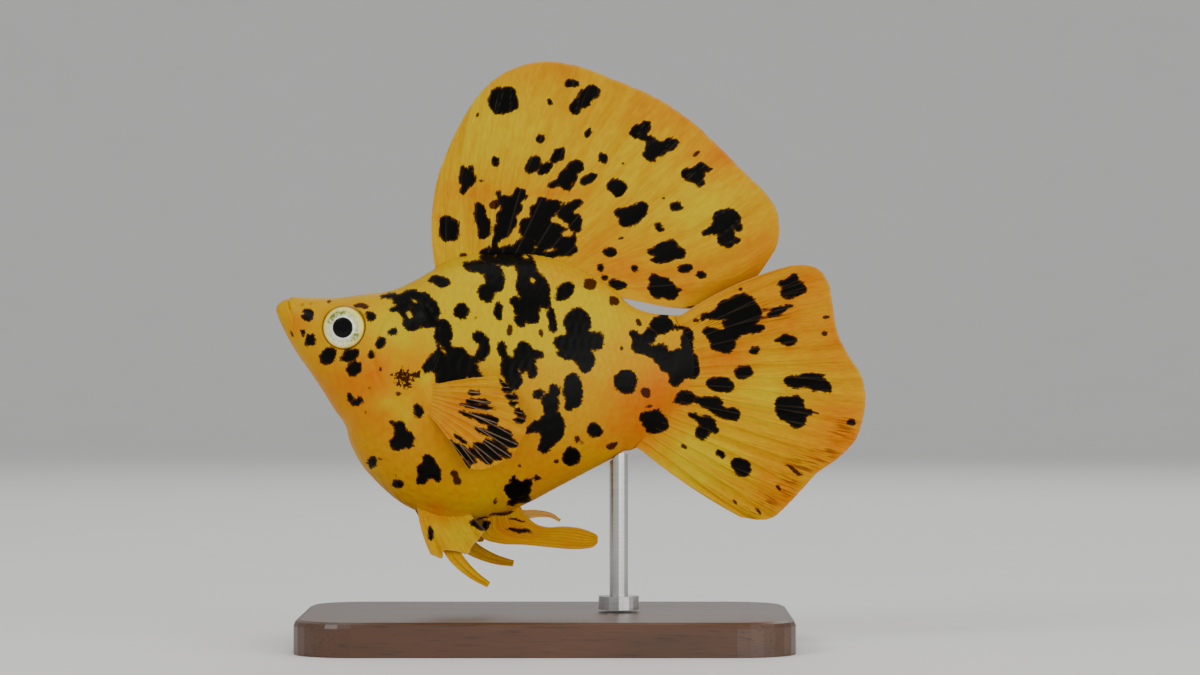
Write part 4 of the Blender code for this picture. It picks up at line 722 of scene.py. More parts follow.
def body_skin(look):
    """The whole body's skin, one closed surface: a loft round the ribs with a domed snout, moved
    along its normals by the forms of the head, the scales and the swellings at the fins' roots,
    and drawn thin where it runs into the tail fin."""
    t = np.concatenate([np.zeros(SNOUT_RINGS), np.linspace(0.0, 1.0, SKIN_STATIONS)])
    angle = np.arange(SKIN_SIDES) * 2 * math.pi / SKIN_SIDES
    t_grid, angle_grid = np.meshgrid(t, angle, indexing="ij")
    points = body_surface(t_grid, angle_grid)
    dome = np.arange(1, SNOUT_RINGS + 1) / (SNOUT_RINGS + 1)
    ring = np.concatenate([dome, np.ones(SKIN_STATIONS)])[:, None]
    points[..., 1] *= ring
    points[..., 2] *= ring
    points[..., 0] -= SNOUT_DOME * np.sqrt(1 - ring ** 2)
    points[..., 0] = drawn_to_tail(points[..., 0], points[..., 2])
    normal = normals_of(points, wrap=True)
    side_on = SKIN_SIDES // 4
    normal *= np.sign((normal[:, side_on, 1] * points[:, side_on, 1]).sum())
    behind, across, above = points[..., 0], points[..., 1], points[..., 2]
    relief, gill = head_relief(behind, across, above)
    # Scales are flatter on the gill covers, and fade out on the snout and at the tail fin
    scaled = 0.25 + 0.75 * smooth(-0.4, 0.4, gill)
    scaled = scaled * smooth(8.0, 13.0, behind) * (1 - smooth(46.5, 49.5, behind))
    rise, edge = scale_relief(t_grid, angle_grid, scaled)
    relief = relief + SCALE_LIFT * (rise - 0.5 * scaled) + root_swellings(behind, across, above)
    points = points + normal * relief[..., None]
    points = sink_eyes(points)
    ahead = -off_line(points[..., 0], points[..., 2], CAUDAL_BASE)[0]
    points[..., 1] *= STALK_THIN + (1 - STALK_THIN) * smooth(-1.0, 3.0, ahead)
    values = markings(points, BODY_BLOTCHES, True)
    values["edge"] = edge
    flat = points.reshape(-1, 3)
    snout = flat[:SKIN_SIDES].mean(axis=0)
    tail = flat[-SKIN_SIDES:].mean(axis=0) + (0.1, 0.0, 0.0)
    here, first, end = np.arange(SKIN_SIDES), len(flat), len(flat) - SKIN_SIDES
    there = (here + 1) % SKIN_SIDES
    triangles = np.concatenate([
        np.stack([np.full(SKIN_SIDES, first), there, here], axis=-1),
        np.stack([np.full(SKIN_SIDES, first + 1), end + here, end + there], axis=-1),
    ])
    values = {key: np.append(numbers, np.ravel(numbers)[[0, -1]]) for key, numbers in values.items()}
    return surface_object(
        "body_skin", np.vstack([flat, snout, tail]), ring_quads(len(t), SKIN_SIDES), triangles, look,
        values, unrolled(len(t), SKIN_SIDES),
    )


def crest_of(phase, v, forks):
    """How near a point is to a fin ray, in steps from ray to ray. Past each share in forks a ray
    is two branches that part evenly: the distance x to a ray becomes | |x| - spread |, with a
    spread that grows from nothing to a quarter, then an eighth, of the step."""
    off = np.abs(phase - np.round(phase))
    reach = 0.25
    for start in forks:
        off = np.abs(off - reach * smooth(start, 1.0, v) ** 0.7)
        reach /= 2
    return off


def rimmed(count, deep):
    """Quads of a thin solid: a grid of points, its twin turned over, and the strip that joins
    their rims. Gives them, and the same with the strip folded flat on the first grid's rim, for
    the map."""
    index = np.arange(count * deep).reshape(count, deep)
    sheet = np.stack([index[:-1, :-1], index[1:, :-1], index[1:, 1:], index[:-1, 1:]], axis=-1)
    sheet = sheet.reshape(-1, 4)
    loop = np.concatenate([index[:, 0], index[-1, 1:], index[-2::-1, -1], index[0, -2:0:-1]])
    after = np.roll(loop, -1)
    twin = count * deep
    faces = np.concatenate([sheet, twin + sheet[:, ::-1]])
    strip = np.stack([loop, twin + loop, twin + after, after], axis=-1)
    folded = np.stack([loop, loop, after, after], axis=-1)
    return np.concatenate([faces, strip]), np.concatenate([faces, folded])


def fin_surface(name, outline, across, rays, grid, look, blotches, thick=(0.6, 0.26, 0.09),
                first=0.0, forks=(0.42, 0.72), crest=0.085, wave=0.06, paired=False, pale_rays=0.04,
                washed=0.0, rim=0.16):
    """A closed thin fin on a grid of u, across its rays, and v, along them. The middle surface is
    outline(u, v) with across(u, v, behind, above), and each face lies half the membrane's
    thickness off it, plus a rounded ridge over every ray. Between two rays the membrane sags by a
    cosine, and two sines make the margin ragged.

    In millimetres, thick is the thickness at the root, a quarter of the way out and at the
    margin, crest a ridge's height and wave the sag. v starts at first, and the rays branch at
    forks. Of 0 to 1, pale_rays, washed and rim are how pale the rays, the whole fin and its
    edges are. A paired fin has a twin on the fish's other side. Its attributes crest, pale and
    streaky are how near a ray's ridge is, how pale it is and where brown streaks show."""
    count, deep = grid
    u, v = np.meshgrid(np.linspace(0.0, 1.0, count), np.linspace(first, 1.0, deep), indexing="ij")
    phase = u * (rays - 1)
    ragged = 0.0012 * np.sin(phase * 12.6 + 2.0 * np.sin(phase * 1.7))
    ragged += 0.002 * np.sin(phase * 5.1 + 1.0)
    flat = outline(u, v * (1 - MARGIN_SHORT - np.abs(ragged) * smooth(0.85, 1.0, v)))
    behind, above = flat[..., 0], flat[..., 1]
    middle = np.stack([behind, across(u, np.maximum(v, 0.0), behind, above), above], axis=-1)
    normal = normals_of(middle)
    step = np.linalg.norm(np.gradient(middle, axis=0), axis=-1) * (count - 1) / (rays - 1)
    bent = phase + 0.05 * np.sin(5.0 * v + 2.4 * np.round(phase))
    ridge = bump(crest_of(bent, v, forks) * step, RAY_WIDE + RAY_ROOT_WIDER * (1 - np.clip(v, 0, 1)))
    middle = middle + normal * (wave * np.cos(2 * math.pi * phase) * smooth(0.1, 0.5, v))[..., None]
    root, web, margin = thick
    full = np.interp(v, (0.0, 0.25, 0.9, 1.0), (root, web, web * 0.8, margin))
    half = full / 2 + crest * ridge * np.interp(v, (0.0, 0.85, 1.0), (1.0, 0.6, 0.15))
    faces = [middle + normal * half[..., None], middle - normal * half[..., None]]
    points = np.concatenate([one.reshape(-1, 3) for one in faces])
    quads, mapped = rimmed(count, deep)
    place = np.stack([np.ravel(u) * 0.49, (np.ravel(v) - first) / (1 - first)], axis=-1)
    bake_map = np.concatenate([place, place + (0.5, 0.0)])[mapped.ravel()]
    rays_map = np.tile(np.stack([np.ravel(bent), np.ravel(v)], axis=-1), (2, 1))[quads.ravel()]
    values = markings(middle, blotches, paired)
    values["crest"] = ridge
    over_black = smooth(-0.15, 0.2, values["black"])
    long = np.linalg.norm(middle[:, -1] - middle[:, 0], axis=-1)[:, None]
    at_side = np.maximum(bump(phase * step, SIDE_WIDE), bump((rays - 1 - phase) * step, SIDE_WIDE))
    at_rim = np.maximum(bump((1 - v) * long, RIM_WIDE), at_side)
    values["pale"] = washed + rim * at_rim + ridge ** 4 * pale_rays * (0.25 + 0.75 * over_black)
    values["streaky"] = near_streaks(behind, above)
    values = {key: np.tile(np.ravel(numbers), 2) for key, numbers in values.items()}
    none = np.zeros((0, 3), int)
    return surface_object(name, points, quads, none, look, values, bake_map, (("rays", rays_map),))


def fan(root, margin, bow, late=0.0):
    """A fin's outline: each ray runs from the root line to the margin and bows sideways by
    4 w (1 - w) bow(u), where w = v^(1 + late u) and bow(u) is in millimetres."""
    def at(u, v):
        start, end = even(root, u), even(margin, u)
        run = end - start
        side = np.stack([-run[..., 1], run[..., 0]], axis=-1)
        side /= np.maximum(np.linalg.norm(side, axis=-1, keepdims=True), 1e-6)
        w = np.maximum(v, 0.0) ** (1 + late * u)
        return start + run * v[..., None] + side * (4 * w * (1 - w) * bow(u))[..., None]
    return at


def between(front, rear):
    """A fin's outline whose first and last rays are the given lines, with the others in between."""
    def at(u, v):
        return even(front, v) * (1 - u)[..., None] + even(rear, v) * u[..., None]
    return at


def strap(path, widths):
    """A long narrow lobe of a fin: u runs across it and v along its curved path."""
    def at(u, v):
        ahead = even(path, np.minimum(v + 0.02, 1.0)) - even(path, np.maximum(v - 0.02, 0.0))
        side = np.stack([-ahead[..., 1], ahead[..., 0]], axis=-1)
        side /= np.linalg.norm(side, axis=-1, keepdims=True)
        width = np.interp(v, (0.0, 0.5, 1.0), widths)
        return even(path, v) + side * ((0.5 - u) * width)[..., None]
    return at


def dorsal_fin(look):
    """The sail, whose rear rays swing to the fish's right."""
    def across(u, v, behind, above):
        wave = DORSAL_WAVE * np.sin(2 * math.pi * (1.6 * u + 0.1)) * v ** 2
        return wave * (1 - u ** 3) + DORSAL_LEAN * u ** 2 * v ** 1.15

    outline = fan(DORSAL_ROOT, DORSAL_MARGIN, lambda u: 0.85 * (1 - u) ** 2 - 3.1 * u ** 4, late=0.35)
    fin = fin_surface("dorsal_sail", outline, across, DORSAL_RAYS, DORSAL_GRID, look, DORSAL_BLOTCHES)
    dress(fin, "fin", "dorsal_fin")


def caudal_fin(look):
    """The tail fin, whose rays start inside the end of the tail stalk."""
    def across(u, v, behind, above):
        ripple = CAUDAL_RIPPLE * np.sin(2 * math.pi * (2.1 * u + 0.35)) * v ** 2
        upper, lower = CAUDAL_TWIST
        return ripple + upper * (1 - u) ** 2 * v ** 1.1 + lower * u ** 2 * v ** 1.3

    outline = fan(CAUDAL_BASE, CAUDAL_MARGIN, lambda u: 0.6 * (1 - u) ** 3 - 0.35 * u ** 3)
    fin = fin_surface(
        "tail_fin", outline, across, CAUDAL_RAYS, CAUDAL_GRID, look, CAUDAL_BLOTCHES + STALK_BLOTCHES,
        thick=(0.95, 0.28, 0.09), first=-0.07, forks=(0.25, 0.55),
    )
    dress(fin, "fin", "caudal_fin")


def anal_fin(look):
    """The long pointed anal fin and the thin lobe that curls over its upper edge."""
    def across(u, v, behind, above):
        return 0.35 * np.sin(3 * v) * v

    def hook_across(u, v, behind, above):
        return 0.1 + 0.9 * v

    fin = fin_surface(
        "anal_fin_web", between(ANAL_FRONT, ANAL_REAR), across, ANAL_RAYS, ANAL_GRID, look,
        LOWER_FIN_BLOTCHES, forks=(0.6,), wave=0.03, crest=0.045,
    )
    hook = fin_surface(
        "anal_fin_lobe", strap(ANAL_HOOK, ANAL_HOOK_WIDTHS), hook_across, LOBE_RAYS,
        ANAL_LOBE_GRID, look, LOWER_FIN_BLOTCHES, thick=(0.4, 0.22, 0.08), forks=(), wave=0.02,
        washed=0.3, rim=0.0,
    )
    hook.parent = fin
    dress(fin, "fin", "anal_fin")


def pectoral_fins(look):
    """Each pectoral fin stands off the flank a little more towards its tip."""
    outline = fan(PECTORAL_ROOT, PECTORAL_MARGIN, lambda u: 0.2 - 0.05 * u)
    for side, name in ((-1, "pectoral_fin_left"), (1, "pectoral_fin_right")):
        def across(u, v, behind, above):
            return side * (half_width(behind, above) + np.interp(v, PECTORAL_SHARES, PECTORAL_OFF))

        fin = fin_surface(
            name + "_web", outline, across, PECTORAL_RAYS, PECTORAL_GRID, look, PECTORAL_BLOTCHES,
            thick=(0.7, 0.2, 0.08), forks=(0.45,), crest=0.05, wave=0.04, rim=0.0, pale_rays=0.42,
        )
        dress(fin, "fin", name)


def swung(points, angle, stretch):
    """Points (behind, above) turned about the pelvic fins' hinge, tips towards the tail."""
    c, s = math.cos(angle) * stretch, math.sin(angle) * stretch
    return (points - PELVIC_HINGE) @ np.array([[c, s], [-s, c]]) + PELVIC_HINGE


def pelvic_fins(look):
    """Each pelvic fin is a short fan with one long free lobe."""
    web = fan(PELVIC_ROOT, PELVIC_MARGIN, lambda u: -0.3 + 0.3 * u)
    lobe = strap(PELVIC_STRAP, PELVIC_STRAP_WIDTHS)
    for side, pose, name in (
        (-1, (0.0, 1.0), "pelvic_fin_left"),
        (1, (PELVIC_SWING, PELVIC_STRETCH), "pelvic_fin_right"),
    ):
        def across(u, v, behind, above):
            return side * (PELVIC_HALF_SPREAD + PELVIC_SPLAY * v)

        def lobe_across(u, v, behind, above):
            return side * (PELVIC_HALF_SPREAD + PELVIC_SPLAY * (LOBE_START + LOBE_SPLAY * v))

        fin = fin_surface(
            name + "_web", lambda u, v: swung(web(u, v), *pose), across, PELVIC_RAYS, PELVIC_GRID, look,
            LOWER_FIN_BLOTCHES, thick=(0.6, 0.22, 0.08), forks=(0.5,), wave=0.04, paired=True,
        )
        long_ray = fin_surface(
            name + "_lobe", lambda u, v: swung(lobe(u, v), *pose), lobe_across, LOBE_RAYS,
            PELVIC_LOBE_GRID, look, LOWER_FIN_BLOTCHES, thick=(0.5, 0.3, 0.1), forks=(), wave=0.02,
            paired=True, rim=0.0,
        )
        long_ray.parent = fin
        dress(fin, "fin", name)


def eyes(look):
    """Each eye is a lens-shaped ball: with r its distance from the axis in radii, its face stands
    dome (1 - r^2.6)^0.5 above the rim, the pupil bulges a little and the iris dips round it. Its
    back is the same curve, flatter. The olive speckles lie in a ring round the pupil, in a long
    arc over it and a short one under it, and the iris is whitest at the pupil and below it."""
    r = np.linspace(0.0, 1.0, EYE_RINGS)[1:]
    angle = np.arange(EYE_SIDES) * 2 * math.pi / EYE_SIDES
    rings, turns = np.meshgrid(r, angle, indexing="ij")
    mm = rings * EYE_RADIUS
    curve = np.sqrt(1 - rings ** EYE_POWER)
    pupil = smooth(PUPIL_RADIUS + 0.1, PUPIL_RADIUS - 0.15, mm)
    dome = EYE_DOME * curve + PUPIL_BULGE * pupil - IRIS_DIP * bump(mm - 1.6, 0.35)
    upper_arc = bump(np.sin((turns - OLIVE_TURN) / 2), 0.42)
    lower_arc = bump(np.sin((turns - LOW_OLIVE_TURN) / 2), 0.2)
    olive = bump(mm - 1.72, 0.34) * (0.25 + 1.3 * upper_arc)
    olive = np.clip(olive + 1.3 * bump(mm - 1.8, 0.3) * lower_arc, 0.0, 1.0)
    white = smooth(2.45, 1.9, mm) * bump(np.sin((turns - PEARL_TURN) / 2), 0.42)
    white = np.maximum(white, bump(mm - PUPIL_RADIUS - 0.1, 0.14))
    rows, sides = rings.shape
    here = np.arange(sides)
    there = (here + 1) % sides
    begin = rows * sides
    rim, last = (rows - 1) * sides, begin + (rows - 2) * sides
    face = ring_quads(rows, sides)
    rear = ring_quads(rows - 1, sides, begin)[:, [1, 0, 3, 2]]
    join = np.stack([last + there, last + here, rim + here, rim + there], axis=-1)
    quads = np.concatenate([face, rear, join])
    count = begin + (rows - 1) * sides + 2
    triangles = np.concatenate([
        np.stack([np.full(sides, count - 2), there, here], axis=-1),
        np.stack([np.full(sides, count - 1), begin + here, begin + there], axis=-1),
    ])
    corners = np.concatenate([quads.ravel(), triangles.ravel()])
    values = {}
    for key, amount in (("ring", mm), ("olive", olive), ("white", white)):
        values[key] = np.concatenate([amount.ravel(), amount[:-1].ravel(), [0.0, 0.0]])
    for side, name in ((-1, "eye_left"), (1, "eye_right")):
        centre, along, out, up = eye_frame(side)
        flat = mm[..., None] * (np.cos(turns)[..., None] * along + np.sin(turns)[..., None] * up)
        front = centre + flat + (dome - EYE_SINK)[..., None] * out
        back = centre + flat - (EYE_BACK * curve + EYE_SINK)[..., None] * out
        front_pole = centre + (EYE_DOME + PUPIL_BULGE - EYE_SINK) * out
        back_pole = centre - (EYE_BACK + EYE_SINK) * out
        points = np.vstack([front.reshape(-1, 3), back[:-1].reshape(-1, 3), front_pole, back_pole])
        spread = (points - centre) @ np.stack([along, up], axis=-1) / (4.2 * EYE_RADIUS)
        spread[:, 0] += np.where(np.arange(count) < begin, 0.25, 0.75)
        spread[count - 2, 0] -= 0.5
        spread[:, 1] += 0.5
        eye = surface_object(name + "_ball", points, quads, triangles, look, values, spread[corners])
        dress(eye, "eye", name)


def dress(piece, slot, *nodes):
    """Ties a finished piece to the frame: it rides on the one body and stands for the given nodes of
    the frame, which are hidden. slot is not used."""
    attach(piece, "root")
    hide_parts(*nodes)


def node(tree, kind, output, inputs=None, **settings):
    """Adds a shader node with its settings, sets or links its inputs by name or number, and gives
    the output of that name or number."""
    made = tree.nodes.new("ShaderNode" + kind)
    for key, value in settings.items():
        setattr(made, key, value)
    for socket, value in (inputs or {}).items():
        if isinstance(value, bpy.types.NodeSocket):
            tree.links.new(value, made.inputs[socket])
        else:
            made.inputs[socket].default_value = value
    return made.outputs[output]


def new_finish(name, constants):
    """A named material, its nodes and its shader's sockets, with the numbers that are the same
    all over it set there."""
    made = bpy.data.materials.new(name)
    made.use_nodes = True
    sockets = made.node_tree.nodes["Principled BSDF"].inputs
    for key, value in constants.items():
        sockets[key].default_value = value
    return made, made.node_tree, sockets


def surfaced(tree, sockets, film, rough_from, rough_to, relief, strength, high):
    """Gives a finish its roughness, which goes between two numbers as film goes from 0 to 1, and
    its fine relief, high in millimetres."""
    rough = node(tree, "MapRange", 0, {"Value": film, "To Min": rough_from, "To Max": rough_to})
    tree.links.new(rough, sockets["Roughness"])
    lift = node(tree, "Bump", "Normal", {"Height": relief, "Strength": strength, "Distance": high * MM})
    tree.links.new(lift, sockets["Normal"])


def ground_colour(tree, yellow, orange):
    """Yellow to orange by the surface's warmth, in clouds of about 3 mm and of 0.8 mm. What the
    clouds add on average is taken off again."""
    warm = node(tree, "Attribute", "Fac", attribute_name="warm")
    place = node(tree, "TexCoord", "Object")
    for scale, detail, share in ((320.0, 4.0, 0.35), (1250.0, 3.0, 0.42)):
        cloud = node(tree, "TexNoise", "Fac", {"Vector": place, "Scale": scale, "Detail": detail})
        warm = node(tree, "Math", 0, {0: cloud, 1: share, 2: warm}, operation="MULTIPLY_ADD")
    warm = node(tree, "Math", 0, {0: warm, 1: 0.385}, operation="SUBTRACT", use_clamp=True)
    return node(tree, "Mix", 2, {0: warm, 6: yellow, 7: orange}, data_type="RGBA")


def blotched(tree, base, ragged, reach):
    """Brown freckles and a painted shadow line at the anal fin's base, then a patch of maroon
    speckles that run into a net, then blotches that go from maroon at a ragged edge to black
    within, with the yellow holes and painted highlights left open, over the base colour. ragged is
    a noise, 0 to 1, that moves the edges to and fro by half of reach, in millimetres."""
    black = node(tree, "Attribute", "Fac", attribute_name="black")
    freckle = node(tree, "Attribute", "Fac", attribute_name="freckle")
    speckled = node(tree, "Attribute", "Fac", attribute_name="speckled")
    place = node(tree, "TexCoord", "Object")
    # Clouds of 3 mm in the black, and speckles of 0.4 mm
    cloud = node(tree, "TexNoise", "Fac", {"Vector": place, "Scale": 320.0, "Detail": 4.0})
    grain = node(tree, "TexNoise", "Fac", {"Vector": place, "Scale": 2700.0, "Detail": 2.0})
    fleck_and_shadow = node(tree, "Math", 0, {0: ragged, 1: 0.7, 2: freckle}, operation="MULTIPLY_ADD")
    speckled = node(tree, "Math", 0, {0: speckled, 1: 0.16}, operation="MINIMUM")
    dots = node(tree, "Math", 0, {0: grain, 1: 2.4, 2: speckled}, operation="MULTIPLY_ADD")
    edge = node(tree, "Math", 0, {0: ragged, 1: reach, 2: black}, operation="MULTIPLY_ADD")
    ink = node(tree, "Mix", 2, {0: cloud, 6: linear("030404"), 7: linear("0C0A07")}, data_type="RGBA")
    middle = reach / 2
    # Each coat's colour, what it follows, from where to where that brings it in, how dense it
    # gets and how its edge goes
    for coat, depth, low, high, most, course in (
        # Brown: the freckles and the painted shadow line at the anal fin's base
        (linear("380A02"), fleck_and_shadow, 0.26, 0.42, 0.96, "SMOOTHSTEP"),
        (linear("2A0302"), dots, 1.0, 1.22, 0.97, "LINEAR"),
        (linear("3C1003"), edge, middle - 0.15, middle - 0.03, 0.94, "SMOOTHSTEP"),
        (ink, edge, middle - 0.07, middle + 0.16, 1.0, "SMOOTHSTEP"),
    ):
        share = node(tree, "MapRange", 0, {
            "Value": depth, "From Min": low, "From Max": high, "To Max": most,
        }, interpolation_type=course)
        base = node(tree, "Mix", 2, {0: share, 6: base, 7: coat}, data_type="RGBA")
    return base


def molly_skin():
    """Living fish skin: xanthic pigment under clear scales and a coat of mucus, which gives
    saturated yellow and orange with a soft wet gloss and a faint net of scale edges."""
    made, tree, sockets = new_finish("molly_skin", {
        "IOR": 1.34, "Specular IOR Level": 0.1, "Coat Weight": 0.04, "Coat Roughness": 0.28,
    })
    place = node(tree, "TexCoord", "Object")
    # The blotches' edges are ragged at about 0.4 mm, a third of a scale
    ragged = node(tree, "TexNoise", "Fac", {
        "Vector": place, "Scale": 2500.0, "Detail": 5.0, "Roughness": 0.75,
    })
    colour = ground_colour(tree, linear(SKIN_YELLOW), linear(SKIN_ORANGE))
    edge = node(tree, "Attribute", "Fac", attribute_name="edge")
    rim = node(tree, "Math", 0, {0: edge, 1: 0.16}, operation="MULTIPLY")
    colour = node(tree, "Mix", 2, {0: rim, 6: colour, 7: linear("A86000")}, data_type="RGBA")
    tree.links.new(blotched(tree, colour, ragged, 1.0), sockets["Base Color"])
    # Slime pools unevenly, at about 2 mm, and pores and mucus wrinkles are about 0.25 mm wide
    film = node(tree, "TexNoise", "Fac", {"Vector": place, "Scale": 500.0, "Detail": 3.0})
    fine = node(tree, "TexNoise", "Fac", {"Vector": place, "Scale": 4000.0, "Detail": 4.0})
    surfaced(tree, sockets, film, 0.34, 0.52, fine, 0.12, 0.06)
    return made


def molly_fin_membrane():
    """Fin membrane, thin skin between bony rays: the same pigment drawn out in streaks along the
    rays, paler and duller near the margin, with a wet gloss."""
    made, tree, sockets = new_finish("molly_fin_membrane", {"IOR": 1.34, "Specular IOR Level": 0.1})
    rays = node(tree, "UVMap", "UV", uv_map="rays")
    place = node(tree, "TexCoord", "Object")
    # On the map of the rays, a ray's spacing is 1 across and its length is 1 along. A streak is a
    # ninth of a ray's spacing wide, with finer ones in it, and 1 to 2 mm long.
    along = node(tree, "Mapping", "Vector", {"Vector": rays, "Scale": (9.0, 12.0, 1.0)})
    streak = node(tree, "TexNoise", "Fac", {
        "Vector": along, "Scale": 1.0, "Detail": 5.0, "Roughness": 0.65,
    })
    # The blotches' edges are ragged at about 0.4 mm
    cloud = node(tree, "TexNoise", "Fac", {"Vector": place, "Scale": 2300.0, "Detail": 4.0})
    ragged = node(tree, "Mix", 0, {0: 0.6, 2: cloud, 3: streak}, data_type="FLOAT")
    colour = ground_colour(tree, linear(FIN_YELLOW), linear(FIN_ORANGE))
    # Broad washes are about half a ray's spacing wide and over half a ray long
    long = node(tree, "Mapping", "Vector", {
        "Vector": rays, "Scale": (2.2, 1.6, 1.0), "Location": (3.0, 1.0, 0.0),
    })
    wash = node(tree, "TexNoise", "Fac", {"Vector": long, "Scale": 1.0, "Detail": 4.0})
    for tint, pattern, low, high, most in (
        ("DE9200", wash, 0.45, 0.72, 0.4),
        ("EABA00", streak, 0.4, 0.62, 0.35),
    ):
        share = node(tree, "MapRange", 0, {
            "Value": pattern, "From Min": low, "From Max": high, "To Max": most,
        })
        colour = node(tree, "Mix", 2, {
            0: share, 6: colour, 7: linear(tint),
        }, data_type="RGBA", blend_type="MULTIPLY")
    # Brown streaks about 0.25 mm wide and 3 mm long, in a few places only
    hair = node(tree, "Mapping", "Vector", {
        "Vector": rays, "Scale": (9.0, 7.0, 1.0), "Location": (5.0, 2.0, 0.0),
    })
    hair = node(tree, "TexNoise", "Fac", {"Vector": hair, "Scale": 1.0, "Detail": 1.0})
    hair = node(tree, "MapRange", 0, {"Value": hair, "From Min": 0.5, "From Max": 0.62, "To Max": 0.9})
    where = node(tree, "Attribute", "Fac", attribute_name="streaky")
    hair = node(tree, "Math", 0, {0: hair, 1: where}, operation="MULTIPLY")
    colour = node(tree, "Mix", 2, {0: hair, 6: colour, 7: linear("6A2602")}, data_type="RGBA")
    colour = blotched(tree, colour, ragged, 1.1)
    pale = node(tree, "Attribute", "Fac", attribute_name="pale")
    colour = node(tree, "Mix", 2, {0: pale, 6: colour, 7: linear("D2AC84")}, data_type="RGBA")
    tree.links.new(colour, sockets["Base Color"])
    # The rays are jointed every 0.5 to 0.7 mm
    crest = node(tree, "Attribute", "Fac", attribute_name="crest")
    joints = node(tree, "TexWave", "Fac", {
        "Vector": rays, "Scale": 12.0, "Distortion": 1.5,
    }, bands_direction="Y")
    jointed = node(tree, "Math", 0, {0: joints, 1: crest}, operation="MULTIPLY")
    height = node(tree, "Math", 0, {0: streak, 1: jointed}, operation="ADD")
    surfaced(tree, sockets, crest, 0.5, 0.4, height, 0.25, 0.06)
    return made


def molly_eye():
    """A fish's eye: guanine crystals give the iris its pale silver, whitest round the black pupil
    and creamy at the rim, with olive speckles on it, and a clear cornea gives the gloss."""
    made, tree, sockets = new_finish("molly_eye", {
        "IOR": 1.3, "Specular IOR Level": 0.2, "Roughness": 0.35,
        "Coat Weight": 0.2, "Coat Roughness": 0.02,
    })
    ring = node(tree, "Attribute", "Fac", attribute_name="ring")
    olive = node(tree, "Attribute", "Fac", attribute_name="olive")
    white = node(tree, "Attribute", "Fac", attribute_name="white")
    place = node(tree, "TexCoord", "Object")
    # Speckles of about 0.4 mm
    grain = node(tree, "TexNoise", "Fac", {
        "Vector": place, "Scale": 2600.0, "Detail": 3.0, "Roughness": 0.6,
    })
    # From the eye's axis, 0, to its rim, 1: the pupil, the pale iris and the brown rim
    stops = (
        (0.0, "010101"), (0.455, "010101"), (0.475, "F2F8DC"), (0.6, "EAF0A8"),
        (0.8, "F6EE88"), (0.895, "F8E070"), (0.93, "B89018"), (0.985, "6E5208"),
    )
    share = node(tree, "MapRange", 0, {"Value": ring, "From Min": 0.0, "From Max": EYE_RADIUS})
    colour = node(tree, "ValToRGB", "Color", {"Fac": share})
    ramp = colour.node.color_ramp
    while len(ramp.elements) < len(stops):
        ramp.elements.new(0.5)
    for element, (place_on, code) in zip(ramp.elements, stops):
        element.position = place_on
        element.color = linear(code)
    pearl = node(tree, "MapRange", 0, {"Value": grain, "From Min": 0.62, "From Max": 0.42})
    pearl = node(tree, "Math", 0, {0: pearl, 1: white}, operation="MULTIPLY")
    colour = node(tree, "Mix", 2, {0: pearl, 6: colour, 7: linear("FFFFFA")}, data_type="RGBA")
    outside = node(tree, "MapRange", 0, {
        "Value": ring, "From Min": PUPIL_RADIUS - 0.02, "From Max": PUPIL_RADIUS + 0.02,
    })
    colour = node(tree, "Mix", 2, {0: outside, 6: linear("010101"), 7: colour}, data_type="RGBA")
    speckle = node(tree, "MapRange", 0, {"Value": grain, "From Min": 0.36, "From Max": 0.56})
    speckle = node(tree, "Math", 0, {0: speckle, 1: olive}, operation="MULTIPLY")
    colour = node(tree, "Mix", 2, {0: speckle, 6: colour, 7: linear("6C7420")}, data_type="RGBA")
    tree.links.new(colour, sockets["Base Color"])
    return made


def stained_walnut():
    """Walnut, planed, stained dark and given a satin varnish: long brown grain under a soft
    gloss, with fine dark pores drawn along it."""
    made, tree, sockets = new_finish("stained_walnut", {
        "IOR": 1.5, "Coat Weight": 0.3, "Coat Roughness": 0.25,
    })
    place = node(tree, "TexCoord", "Object")
    # Growth rings about 3 mm apart, and pores 0.2 mm wide and 5 mm long
    grain = node(tree, "Mapping", "Vector", {"Vector": place, "Scale": (30.0, 330.0, 330.0)})
    rings = node(tree, "TexNoise", "Fac", {
        "Vector": grain, "Scale": 1.0, "Detail": 5.0, "Distortion": 0.6,
    })
    thin = node(tree, "Mapping", "Vector", {"Vector": place, "Scale": (220.0, 4500.0, 4500.0)})
    pores = node(tree, "TexNoise", "Fac", {"Vector": thin, "Scale": 1.0, "Detail": 3.0})
    colour = node(tree, "Mix", 2, {
        0: rings, 6: linear("24140B"), 7: linear("6A4226"),
    }, data_type="RGBA")
    pored = node(tree, "MapRange", 0, {
        "Value": pores, "From Min": 0.56, "From Max": 0.7, "To Max": 0.6,
    })
    colour = node(tree, "Mix", 2, {0: pored, 6: colour, 7: linear("150B06")}, data_type="RGBA")
    tree.links.new(colour, sockets["Base Color"])
    surfaced(tree, sockets, rings, 0.36, 0.5, pores, 0.2, 0.05)
    return made


def brushed_steel():
    """Stainless steel rod, brushed round: fine bright rings with a soft sheen."""
    made, tree, sockets = new_finish("brushed_steel", {"Metallic": 1.0})
    place = node(tree, "TexCoord", "Object")
    # Brush lines round the rod, drawn 0.15 mm apart so that they show
    turned = node(tree, "Mapping", "Vector", {"Vector": place, "Scale": (300.0, 300.0, 7000.0)})
    lines = node(tree, "TexNoise", "Fac", {"Vector": turned, "Scale": 1.0, "Detail": 3.0})
    colour = node(tree, "Mix", 2, {
        0: lines, 6: linear("A9A9A6"), 7: linear("D4D3CF"),
    }, data_type="RGBA")
    tree.links.new(colour, sockets["Base Color"])
    surfaced(tree, sockets, lines, 0.24, 0.42, lines, 0.15, 0.04)
    return made


